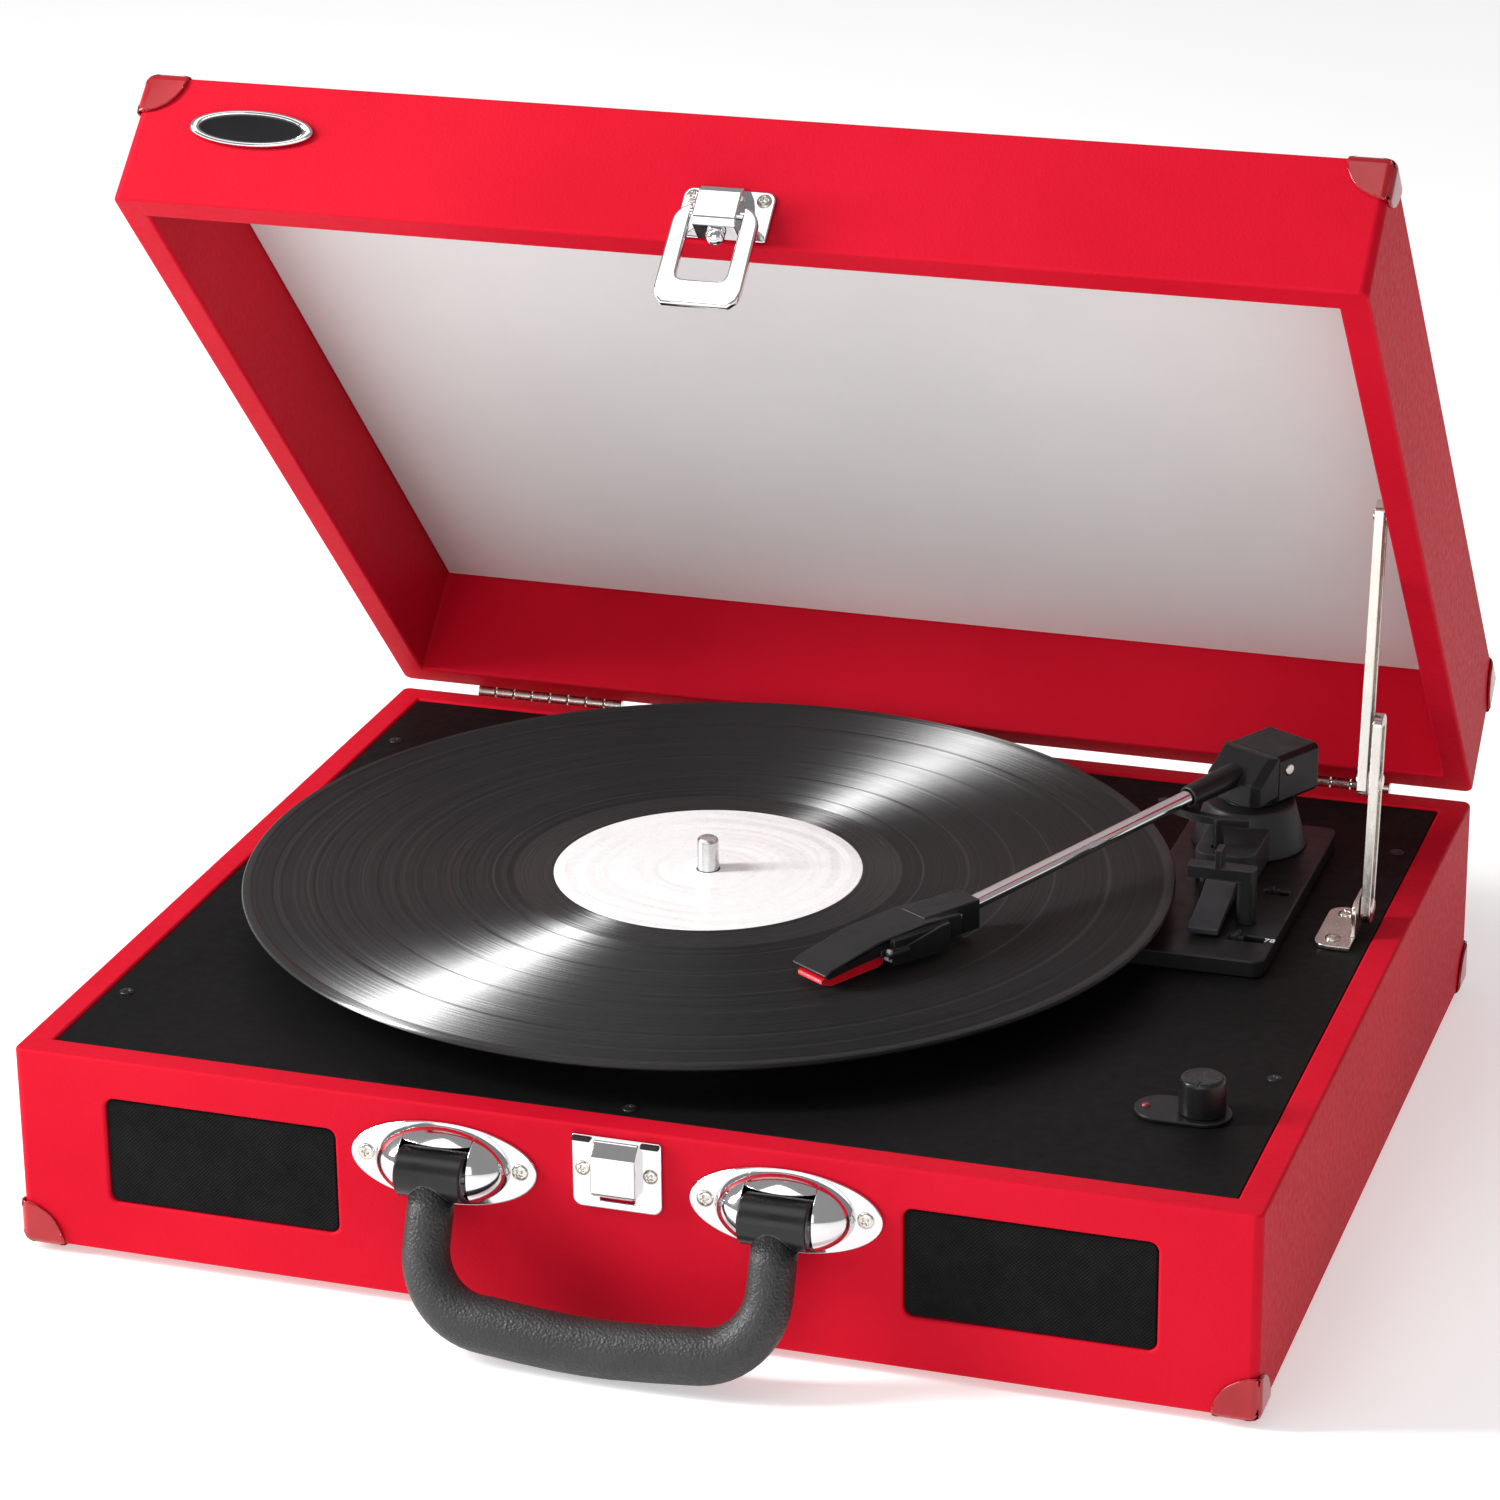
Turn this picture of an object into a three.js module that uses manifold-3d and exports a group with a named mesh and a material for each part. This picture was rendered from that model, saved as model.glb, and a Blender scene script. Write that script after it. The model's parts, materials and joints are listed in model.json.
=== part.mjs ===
// Portable suitcase record player: a hinged case with a deck, a record on a belt-driven platter,
// a tonearm and a lid held by a folding stay.
// Millimetres, +X to the right, +Y to the rear, +Z up. Case coordinates have their origin under the
// middle of the case, with z = 0 at its lower edge.
import * as THREE from "three";
import { mergeVertices } from "three/addons/utils/BufferGeometryUtils.js";
import Module from "manifold-3d";

const wasm = await Module();
wasm.setup();

// ---------- driving dimensions ----------
const GAP = 0.3; // clearance between pieces that touch

// case
const CASE_W = 390;
const CASE_D = 325;
const CASE_H = 65.4;
const SIDE_WALL = 9.5;
const END_WALL = 10;
const EDGE_R = 3;
const BOTTOM_T = 3;
const DECK_T = 3;
const DECK_TOP = CASE_H - 0.6;
const DECK_BOTTOM = DECK_TOP - DECK_T;
const INNER_W = CASE_W - 2 * SIDE_WALL;
const INNER_D = CASE_D - 2 * END_WALL;
const FRONT = -CASE_D / 2;
const REAR = CASE_D / 2;
const POST = 16; // corner blocks that carry the deck

// feet
const FOOT_R = 7;
const FOOT_DROP = 3; // how far the feet stand below the case
const FOOT_INSET = 26;

// lid
const LID_OPEN = 47.1; // degrees from closed, where the stay is fully extended
const LID_H = 44.9;
const LID_TOP_T = 3.7;
const LINING_T = 1.6;
const HINGE_Y = REAR + 2.6;
const HINGE_Z = CASE_H + 0.4;
const RIM = 0.4; // lid rim above the hinge axis when closed
const LID_FRONT = FRONT - HINGE_Y;
const LID_REAR = REAR - HINGE_Y;

// speaker grilles
const GRILLE = { x: 127, z: 34.8, w: 76, h: 35, r: 3, recess: 0.7, t: 1.6 };

// hinges
const KNUCKLE_R = 2.5;
const KNUCKLE_L = 6.9;
const KNUCKLES = 8;
const HINGE_X = 111.5; // inner end of each hinge from the middle
const LEAF = { t: 1.2, h: 20 };

// carrying handle
const HANDLE = {
  x: 53.6, // legs from the middle
  y: FRONT - 8.5, // swivel axis
  z: 47,
  lean: 22.2, // degrees forward of hanging
  drop: 44.3, // axis to the middle of the grip
  sleeveR: 7.8,
  sleeveL: 21,
  legR: 7.2,
  gripR: 8.8,
  bend: 21,
};
const BRACKET = { w: 60, h: 27, t: 1.2, domeW: 43, domeH: 25, out: 13 };

// latch
const LATCH_X = 1.5; // both halves stand a little right of the middle
const LATCH = {
  axisW: 6.4, // loop axis above the lid rim line
  axisOut: 7.2, // and in front of the lid
  plateW: 28.6,
  plateLow: 1.6,
  plateHigh: 18.7,
  blockW: 13.6,
  blockLow: 1.4,
  blockHigh: 17.8,
  blockOut: 10.5,
  loopW: 26.8,
  loopHole: 15.8,
  loopBottom: -25.5,
  loopT: 2.6,
  barH: 8.6,
};
const CATCH = { w: 28, low: 39.4, high: 62.8, boxW: 14, boxLow: 45, boxHigh: 60.6, out: 5.2 };

// record, platter and drive
const SPINDLE = { x: -24.5, y: 1, r: 3.6, up: 11 };
const RECORD = { r: 150.8, t: 2, top: CASE_H + 14.3, hole: 3.75 };
const MAT = { r: 97, t: 1.8 };
const PLATTER = { r: 100, skirt: 7.4, web: 2.8, drumR: 42, drumWall: 3 };
const PULLEY = { r: 5, distance: 64, bearing: 118 }; // from the spindle, direction in degrees
const BELT = { t: 0.8, h: 3.2 };

// tonearm: its own frame has +X along the tube, towards the headshell
const ARM = {
  x: 133.2,
  y: 93.5,
  heading: 241.3, // direction of the tube in degrees from +X
  liftX: -6,
  liftZ: 98,
  tubeR: 2.5,
  tubeFrom: 9,
  tubeTo: 143,
  tubeRise: 4.2, // degrees that the tube rises towards the axis
  tubeZ: 97.7, // height of the tube's centre line over the vertical axis
  shellTurn: -4, // offset angle of the headshell
};
const ARM_PLATE = { x0: 110, x1: 158.9, y0: -2, y1: 113, t: 5.8, r: 4 };
const PLATE_TOP = DECK_TOP + ARM_PLATE.t + GAP;
const ARM_POST = { r0: 19, r1: 14.5, top: 86.2 };
const BLOCK = { rear: -22, front: 10.5, top: 102.5, low: 86.5, halfW: 11.5, cheek: 2.6, slope: 7 };

// cueing lever and lift, in case coordinates
const CUE = { x0: 131.5, x1: 141.5, y: 43, z: 78, lowY: 12 };
const LIFT = { r: 33, halfAngle: 32, w: 3, t: 2.6 };

// controls
const KNOB = { x: 163.2, y: -102, r: 7.2, h: 11 };
const CONTROL = { x0: 142.9, x1: 172.3, y: -102.6, depth: 17, t: 1.3 };
const SPEED = { x: 147.2, y: 15.5, travel: 6 };
const AUTOSTOP = { x: 149.8, y: 54, travel: 3 };

// folding lid stay, seen from the side: base pivot, elbow and lid pivot
const STAY = {
  baseY: 46,
  baseZ: 73,
  lower: 41.5,
  upper: 85.4,
  tail: 22, // lower arm beyond the elbow
  end: 5, // rounded end beyond a pivot
  halfW: 4,
  lowerX: 182.4,
  upperX: 178.6,
  t: 3,
  slope: 81.75, // direction of both arms in degrees from +Y when extended
};

// corner protectors
const CORNER = { size: 13, t: 1.2 };

// ---------- geometry helpers ----------
const rad = THREE.MathUtils.degToRad;

function solid(geometry) {
  const g = geometry.index ? geometry : mergeVertices(geometry);
  g.deleteAttribute("normal");
  g.deleteAttribute("uv");
  const merged = mergeVertices(g, 1e-4);
  return new wasm.Manifold(
    new wasm.Mesh({
      numProp: 3,
      vertProperties: new Float32Array(merged.attributes.position.array),
      triVerts: new Uint32Array(merged.index.array),
    }),
  );
}

function box(x0, x1, y0, y1, z0, z1) {
  const g = new THREE.BoxGeometry(x1 - x0, y1 - y0, z1 - z0);
  return solid(g.translate((x0 + x1) / 2, (y0 + y1) / 2, (z0 + z1) / 2));
}

// A cylinder or cone along "x", "y" or "z" from a to b, through the point (u, v) of the other two
// axes in X, Y, Z order.
function rod(axis, a, b, u, v, r0, r1 = r0, sides = 24) {
  const g = new THREE.CylinderGeometry(r1, r0, b - a, sides).translate(0, (a + b) / 2, 0);
  if (axis === "x") g.rotateZ(-Math.PI / 2).translate(0, u, v);
  if (axis === "y") g.translate(u, 0, v);
  if (axis === "z") g.rotateX(Math.PI / 2).translate(u, v, 0);
  return solid(g);
}

// An outline with rounded corners; radii in the order left-low, right-low, right-high, left-high.
function rounded(x0, x1, y0, y1, r) {
  const [a, b, c, d] = Array.isArray(r) ? r : [r, r, r, r];
  const s = new THREE.Shape();
  s.moveTo(x0 + a, y0);
  s.lineTo(x1 - b, y0);
  if (b) s.absarc(x1 - b, y0 + b, b, -Math.PI / 2, 0);
  s.lineTo(x1, y1 - c);
  if (c) s.absarc(x1 - c, y1 - c, c, 0, Math.PI / 2);
  s.lineTo(x0 + d, y1);
  if (d) s.absarc(x0 + d, y1 - d, d, Math.PI / 2, Math.PI);
  s.lineTo(x0, y0 + a);
  if (a) s.absarc(x0 + a, y0 + a, a, Math.PI, 1.5 * Math.PI);
  return s;
}

function polygon(points) {
  return new THREE.Shape(points.map(([x, y]) => new THREE.Vector2(x, y)));
}

const raise = (shape, depth, segments = 5) =>
  new THREE.ExtrudeGeometry(shape, { depth, bevelEnabled: false, curveSegments: segments });

// An outline in X and Y, from z0 to z1.
const slab = (shape, z0, z1, segments) => solid(raise(shape, z1 - z0, segments).translate(0, 0, z0));

// An outline in X and Z, from y0 to y1.
const wallSlab = (shape, y0, y1, segments) =>
  solid(raise(shape, y1 - y0, segments).rotateX(Math.PI / 2).translate(0, y1, 0));

// An outline in Y and Z, from x0 to x1.
const sideSlab = (shape, x0, x1, segments) =>
  solid(
    raise(shape, x1 - x0, segments)
      .applyMatrix4(new THREE.Matrix4().set(0, 0, 1, x0, 1, 0, 0, 0, 0, 1, 0, 0, 0, 0, 0, 1)),
  );

function lathe(profile, segments = 48) {
  const points = profile.map(([r, z]) => new THREE.Vector2(r, z));
  return solid(new THREE.LatheGeometry(points, segments).rotateX(Math.PI / 2));
}

function add(parent, name, shape, look) {
  const m = shape.getMesh();
  const g = new THREE.BufferGeometry();
  g.setAttribute("position", new THREE.BufferAttribute(m.vertProperties, 3));
  g.setIndex(new THREE.BufferAttribute(m.triVerts, 1));
  g.computeVertexNormals();
  const mesh = new THREE.Mesh(g, look);
  mesh.name = name;
  parent.add(mesh);
}

const look = (color, roughness, metalness = 0) =>
  new THREE.MeshStandardMaterial({ color, roughness, metalness });
const LOOKS = {
  red: look(0xd20a2c, 0.55),
  darkRed: look(0x96101c, 0.25),
  deck: look(0x1b1a1b, 0.5),
  plastic: look(0x1c1c1e, 0.4),
  chrome: look(0xe6e6e8, 0.12, 1),
  nickel: look(0xc8c2ba, 0.28, 1),
  cloth: look(0x17171a, 0.95),
  rubber: look(0x18181a, 0.8),
  grip: look(0x2a2b2d, 0.55),
  vinyl: look(0x0e0e10, 0.2),
  lining: look(0xc6bfbf, 0.8),
  board: look(0x5d4a34, 0.8),
  stylus: look(0xd21022, 0.3),
  circuit: look(0x1f5a34, 0.6),
  badge: look(0x17171a, 0.3),
};

const root = new THREE.Group();
const player = new THREE.Group();
root.add(player);

// ---------- case ----------
function addCase() {
  const outline = rounded(-CASE_W / 2, CASE_W / 2, FRONT, REAR, EDGE_R);
  let shell = slab(outline, 0, CASE_H);
  shell = shell.subtract(box(-INNER_W / 2, INNER_W / 2, FRONT + END_WALL, REAR - END_WALL, -1, CASE_H + 1));
  for (const sx of [-1, 1]) {
    const { x, z, w, h, r, recess, t } = GRILLE;
    const bed = rounded(sx * x - w / 2, sx * x + w / 2, z - h / 2, z + h / 2, r);
    const hole = rounded(sx * x - w / 2 + 3, sx * x + w / 2 - 3, z - h / 2 + 3, z + h / 2 - 3, r);
    shell = shell
      .subtract(wallSlab(bed, FRONT - 1, FRONT + recess + t + GAP, 3))
      .subtract(wallSlab(hole, FRONT - 1, FRONT + END_WALL + 1, 3));
    for (const sy of [-1, 1]) {
      const px = (sx * INNER_W) / 2;
      const py = (sy * INNER_D) / 2;
      shell = shell.add(
        box(
          Math.min(px, px - sx * POST), Math.max(px, px - sx * POST),
          Math.min(py, py - sy * POST), Math.max(py, py - sy * POST),
          BOTTOM_T + GAP, DECK_BOTTOM - GAP,
        ),
      );
    }
  }
  shell = shell.subtract(box(-28, 28, REAR - END_WALL - 1, REAR + 1, 22, 40));
  add(player, "base_case", shell, LOOKS.red);

  const inset = (z0, z1) =>
    box(-INNER_W / 2 + GAP, INNER_W / 2 - GAP, FRONT + END_WALL + GAP, REAR - END_WALL - GAP, z0, z1);
  add(player, "bottom_panel", inset(0, BOTTOM_T), LOOKS.board);

  const cuts = [
    rod("z", DECK_BOTTOM - 1, DECK_TOP + 1, SPINDLE.x, SPINDLE.y, 9),
    rod("z", DECK_BOTTOM - 1, DECK_TOP + 1, ...pulleyCentre(), 8),
    rod("z", DECK_BOTTOM - 1, DECK_TOP + 1, KNOB.x, KNOB.y, 4.5, 4.5, 16),
    rod("z", DECK_BOTTOM - 1, DECK_TOP + 1, ARM.x, ARM.y, 8, 8, 16),
  ];
  add(player, "deck_plate", cuts.reduce((s, c) => s.subtract(c), inset(DECK_BOTTOM, DECK_TOP)), LOOKS.deck);
}

function addFeet() {
  for (const [side, sx] of [["left", -1], ["right", 1]]) {
    for (const [end, sy] of [["front", -1], ["rear", 1]]) {
      const x = sx * (CASE_W / 2 - FOOT_INSET);
      const y = sy * (CASE_D / 2 - FOOT_INSET);
      add(
        player,
        `foot_${end}_${side}`,
        rod("z", -FOOT_DROP, -0.2, x, y, FOOT_R - 1, FOOT_R, 20),
        LOOKS.rubber,
      );
    }
  }
}

function addSpeakers() {
  for (const [side, sx] of [["left", -1], ["right", 1]]) {
    const { x, z, w, h, r, recess, t } = GRILLE;
    const cloth = rounded(
      sx * x - w / 2 + GAP, sx * x + w / 2 - GAP, z - h / 2 + GAP, z + h / 2 - GAP, r - GAP,
    );
    add(player, `grille_${side}`, wallSlab(cloth, FRONT + recess, FRONT + recess + t, 3), LOOKS.cloth);
    const back = FRONT + END_WALL + GAP;
    const frame = wallSlab(rounded(sx * x - 38, sx * x + 38, z - 19, z + 19, 8), back, back + 2, 3)
      .add(rod("y", back + 1, back + 15, sx * x, z, 17, 12, 20))
      .add(rod("y", back + 14, back + 26, sx * x, z, 14, 14, 20));
    add(player, `speaker_${side}`, frame, LOOKS.nickel);
  }
}

// Three-sided caps for the corners of a box: (sx, sy) picks the corner and z its level; up is 1 for
// caps on top.
function cornerCap(sx, sy, hx, y0, y1, z, up) {
  const { size, t } = CORNER;
  const clear = 0.2;
  const yc = sy < 0 ? y0 : y1;
  const px = sx * hx;
  const span = (a, b) => [Math.min(a, b), Math.max(a, b)];
  const outline = (grow, reach) => {
    const [xa, xb] = span(px + sx * grow, px - sx * reach);
    const [ya, yb] = span(yc + sy * grow, yc - sy * reach);
    const r = EDGE_R + grow;
    const corners = [sx < 0 && sy < 0, sx > 0 && sy < 0, sx > 0 && sy > 0, sx < 0 && sy > 0];
    return rounded(xa, xb, ya, yb, corners.map((here) => (here ? r : 0)));
  };
  const outer = slab(outline(t, size), ...span(z + up * t, z - up * size), 4);
  const inner = slab(outline(clear, size + 5), ...span(z + up * clear, z - up * (size + 5)), 4);
  return outer.subtract(inner);
}

function addBaseCorners() {
  for (const [side, sx] of [["left", -1], ["right", 1]]) {
    for (const [end, sy] of [["front", -1], ["rear", 1]]) {
      add(
        player,
        `base_corner_${end}_${side}`,
        cornerCap(sx, sy, CASE_W / 2, FRONT, REAR, 0, -1),
        LOOKS.darkRed,
      );
    }
  }
}

// ---------- hinges ----------
// Knuckles alternate between the two leaves; the base leaf holds the pin that runs through them all.
function hingeLeaf(start, odd, leafY, leafZ0, leafZ1, axisY, axisZ) {
  const length = KNUCKLES * KNUCKLE_L;
  let leaf = box(start, start + length, leafY, leafY + LEAF.t, leafZ0, leafZ1);
  for (let i = 0; i < KNUCKLES; i++) {
    const a = start + i * KNUCKLE_L;
    const mine = i % 2 === odd;
    const trim = mine ? 0.15 : -0.15;
    const r = mine ? KNUCKLE_R : KNUCKLE_R + 0.5;
    const knuckle = rod("x", a + trim, a + KNUCKLE_L - trim, axisY, axisZ, r, r, 10);
    leaf = mine ? leaf.add(knuckle) : leaf.subtract(knuckle);
  }
  if (odd) return leaf.subtract(rod("x", start - 1, start + length + 1, axisY, axisZ, 1.35, 1.35, 8));
  return leaf.add(rod("x", start + 1, start + length - 0.2, axisY, axisZ, 0.95, 0.95, 8));
}

function addHinges(lid) {
  const length = KNUCKLES * KNUCKLE_L;
  for (const [side, start] of [["left", -HINGE_X - length], ["right", HINGE_X]]) {
    add(
      player,
      `hinge_leaf_base_${side}`,
      hingeLeaf(start, 0, REAR + 0.2, HINGE_Z - LEAF.h, HINGE_Z - 1, HINGE_Y, HINGE_Z),
      LOOKS.nickel,
    );
    add(
      lid,
      `hinge_leaf_lid_${side}`,
      hingeLeaf(start, 1, LID_REAR + 0.3, 1, LEAF.h, 0, 0),
      LOOKS.nickel,
    );
  }
}

// ---------- handle ----------
function addHandleBrackets() {
  for (const [side, sx] of [["left", -1], ["right", 1]]) {
    const x = sx * HANDLE.x;
    const { w, h, t, domeW, domeH, out } = BRACKET;
    const oval = new THREE.Shape();
    oval.absellipse(x, HANDLE.z, w / 2, h / 2, 0, 2 * Math.PI);
    const base = wallSlab(oval, FRONT - t, FRONT - 0.1, 10);
    const egg = new THREE.SphereGeometry(1, 22, 14)
      .scale(domeW / 2, out, domeH / 2)
      .translate(x, FRONT - 0.6, HANDLE.z);
    const dome = solid(egg).intersect(box(x - w, x + w, FRONT - 30, FRONT - 0.6, 0, CASE_H));
    const half = HANDLE.sleeveL / 2 + 0.4;
    const slot = box(x - half, x + half, FRONT - 30, FRONT + 1, HANDLE.z - 9.5, HANDLE.z + 9.5)
      .add(box(x - half, x + half, FRONT - 30, FRONT - t - 0.6, 0, CASE_H));
    const pin = rod("x", x - half - 2, x + half + 2, HANDLE.y, HANDLE.z, 2, 2, 12);
    add(player, `handle_bracket_${side}`, base.add(dome).subtract(slot).add(pin), LOOKS.chrome);
  }
}

// The handle is drawn hanging from its swivel axis, which is the group's X axis; the group leans it
// forward.
function addHandle() {
  const handle = new THREE.Group();
  handle.position.set(0, HANDLE.y, HANDLE.z);
  handle.rotation.x = -rad(HANDLE.lean);
  player.add(handle);
  const { x, drop, bend, legR, gripR, sleeveR, sleeveL } = HANDLE;
  const path = [];
  const steps = 6;
  for (let i = 0; i <= steps; i++) {
    const a = (i / steps) * (Math.PI / 2);
    path.push([x - bend + bend * Math.cos(a), -(drop - 2 - bend) - bend * Math.sin(a)]);
  }
  const stations = [[x, -4, legR], [x, -13, legR]];
  path.forEach(([px, pz], i) => stations.push([px, pz, legR + ((gripR - legR) * i) / steps]));
  stations.push([0, -drop, gripR]);
  path.reverse().forEach(([px, pz], i) => {
    stations.push([-px, pz, gripR - ((gripR - legR) * i) / steps]);
  });
  stations.push([-x, -13, legR], [-x, -4, legR]);
  let grip = tubeThrough(stations, 14);
  for (const sx of [-1, 1]) {
    grip = grip
      .add(rod("x", sx * x - sleeveL / 2, sx * x + sleeveL / 2, 0, 0, sleeveR, sleeveR, 24))
      .subtract(rod("x", sx * x - sleeveL, sx * x + sleeveL, 0, 0, 2.35, 2.35, 12));
  }
  add(handle, "carry_handle", grip, LOOKS.grip);
}

// A closed tube with round sections of changing radius through points [x, z, r] in the XZ plane.
function tubeThrough(stations, sides) {
  const position = [];
  const index = [];
  stations.forEach(([x, z, r], i) => {
    const before = stations[Math.max(i - 1, 0)];
    const after = stations[Math.min(i + 1, stations.length - 1)];
    const along = new THREE.Vector2(after[0] - before[0], after[1] - before[1]).normalize();
    for (let k = 0; k < sides; k++) {
      const a = (k / sides) * 2 * Math.PI;
      position.push(x - along.y * r * Math.cos(a), r * Math.sin(a), z + along.x * r * Math.cos(a));
    }
  });
  const ring = (i, k) => i * sides + (k % sides);
  for (let i = 0; i + 1 < stations.length; i++) {
    for (let k = 0; k < sides; k++) {
      index.push(ring(i, k), ring(i, k + 1), ring(i + 1, k + 1));
      index.push(ring(i, k), ring(i + 1, k + 1), ring(i + 1, k));
    }
  }
  const last = stations.length - 1;
  for (let k = 1; k + 1 < sides; k++) {
    index.push(ring(0, 0), ring(0, k + 1), ring(0, k), ring(last, 0), ring(last, k), ring(last, k + 1));
  }
  const g = new THREE.BufferGeometry();
  g.setAttribute("position", new THREE.BufferAttribute(new Float32Array(position), 3));
  g.setIndex(index);
  let made = solid(g);
  if (made.volume() < 0) {
    for (let i = 0; i < index.length; i += 3) [index[i + 1], index[i + 2]] = [index[i + 2], index[i + 1]];
    g.setIndex(index);
    made = solid(g);
  }
  return made;
}

// ---------- latch ----------
function addCatch() {
  const { w, low, high, boxW, boxLow, boxHigh, out } = CATCH;
  const face = FRONT - 0.1;
  const left = LATCH_X - boxW / 2;
  const right = LATCH_X + boxW / 2;
  const plate = wallSlab(
    rounded(LATCH_X - w / 2, LATCH_X + w / 2, low, high, [3, 3, 0, 0]), face - 1.1, face, 3,
  );
  const keeper = sideSlab(
    polygon([
      [face - 0.5, boxHigh],
      [face - out, boxHigh - 0.8],
      [face - out, boxLow + 1],
      [face - out + 1, boxLow],
      [face - 0.5, boxLow],
    ]),
    left, right,
  );
  const mouth = box(left + 1.6, right - 1.6, face - out + 1.2, face - 1.4, boxLow - 3, boxLow + 9);
  const slot = box(left + 1.6, right - 1.6, face - 2, face + 1, boxLow - 3, boxLow - 0.6);
  add(player, "latch_catch", plate.add(keeper).subtract(mouth).subtract(slot), LOOKS.chrome);
}

function addLatch(lid) {
  const L = LATCH;
  const face = LID_FRONT - 0.3;
  const plate = wallSlab(
    rounded(LATCH_X - L.plateW / 2, LATCH_X + L.plateW / 2, L.plateLow, L.plateHigh, [0.5, 0.5, 3, 3]),
    face - 1, face, 3,
  );
  const block = sideSlab(
    polygon([
      [face - 0.5, L.blockLow],
      [LID_FRONT - L.blockOut + 1.5, L.blockLow],
      [LID_FRONT - L.blockOut, L.blockLow + 2],
      [LID_FRONT - L.blockOut, L.blockHigh - 5.2],
      [LID_FRONT - L.blockOut + 6, L.blockHigh],
      [face - 0.5, L.blockHigh],
    ]),
    LATCH_X - L.blockW / 2, LATCH_X + L.blockW / 2,
  );
  const ballY = LID_FRONT - 4.6;
  const ball = solid(new THREE.SphereGeometry(2.9, 16, 10).translate(LATCH_X, ballY, L.blockLow - 0.9));
  const axisY = LID_FRONT - L.axisOut;
  const bore = rod("x", -20, 20, axisY, L.axisW, 1.9, 1.9, 16);
  add(lid, "latch_plate", plate.add(block).add(ball).subtract(bore), LOOKS.chrome);

  const half = L.loopW / 2;
  const hole = L.loopHole / 2;
  const top = L.axisW + 2.6;
  const ring = wallSlab(
    rounded(LATCH_X - half, LATCH_X + half, L.loopBottom, top, [6, 6, 6.5, 6.5]), axisY - L.loopT / 2, axisY + L.loopT / 2, 4,
  ).subtract(
    wallSlab(
      rounded(LATCH_X - hole, LATCH_X + hole, L.loopBottom + L.barH, top + 5, [3, 3, 0, 0]), axisY - 5, axisY + 5, 4,
    ),
  );
  const pin = rod("x", LATCH_X - hole - 1, LATCH_X + hole + 1, axisY, L.axisW, 1.3, 1.3, 12);
  add(lid, "latch_loop", ring.add(pin), LOOKS.chrome);
}

// ---------- lid ----------
// The lid is drawn closed, from its hinge axis, and its group turns it open.
function addLid(lid) {
  const top = RIM + LID_H;
  const shell = slab(rounded(-CASE_W / 2, CASE_W / 2, LID_FRONT, LID_REAR, EDGE_R), RIM, top).subtract(
    box(-INNER_W / 2, INNER_W / 2, LID_FRONT + END_WALL, LID_REAR - END_WALL, RIM - 1, top - LID_TOP_T),
  );
  add(lid, "lid_case", shell, LOOKS.red);
  const under = top - LID_TOP_T - GAP;
  add(
    lid,
    "lid_lining",
    box(
      -INNER_W / 2 + GAP, INNER_W / 2 - GAP, LID_FRONT + END_WALL + GAP, LID_REAR - END_WALL - GAP,
      under - LINING_T, under,
    ),
    LOOKS.lining,
  );
  for (const [side, sx] of [["left", -1], ["right", 1]]) {
    for (const [end, sy] of [["front", -1], ["rear", 1]]) {
      const cap = cornerCap(sx, sy, CASE_W / 2, LID_FRONT, LID_REAR, top, 1);
      add(lid, `lid_corner_${end}_${side}`, cap, LOOKS.darkRed);
    }
  }
  const oval = new THREE.Shape();
  oval.absellipse(-155.7, 27.8, 20.6, 6.6, 0, 2 * Math.PI);
  add(lid, "lid_badge", wallSlab(oval, LID_FRONT - 2, LID_FRONT - 0.3, 8), LOOKS.badge);
}

// ---------- folding stay ----------
// Each arm is drawn along +Y from its own pivot, as an outline in Y and Z; its group turns it.
function stayArm(from, to, xMid, boreAt) {
  const { halfW, t } = STAY;
  const arm = sideSlab(rounded(from, to, -halfW, halfW, halfW - 0.2), xMid - t / 2, xMid + t / 2, 4);
  const channel = box(xMid - t / 2 + 1, xMid + t, from + 6, to - 4, -halfW + 1, halfW - 1);
  return arm.subtract(channel).subtract(rod("x", xMid - t, xMid + t, boreAt, 0, 1.7, 1.7, 12));
}

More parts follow.
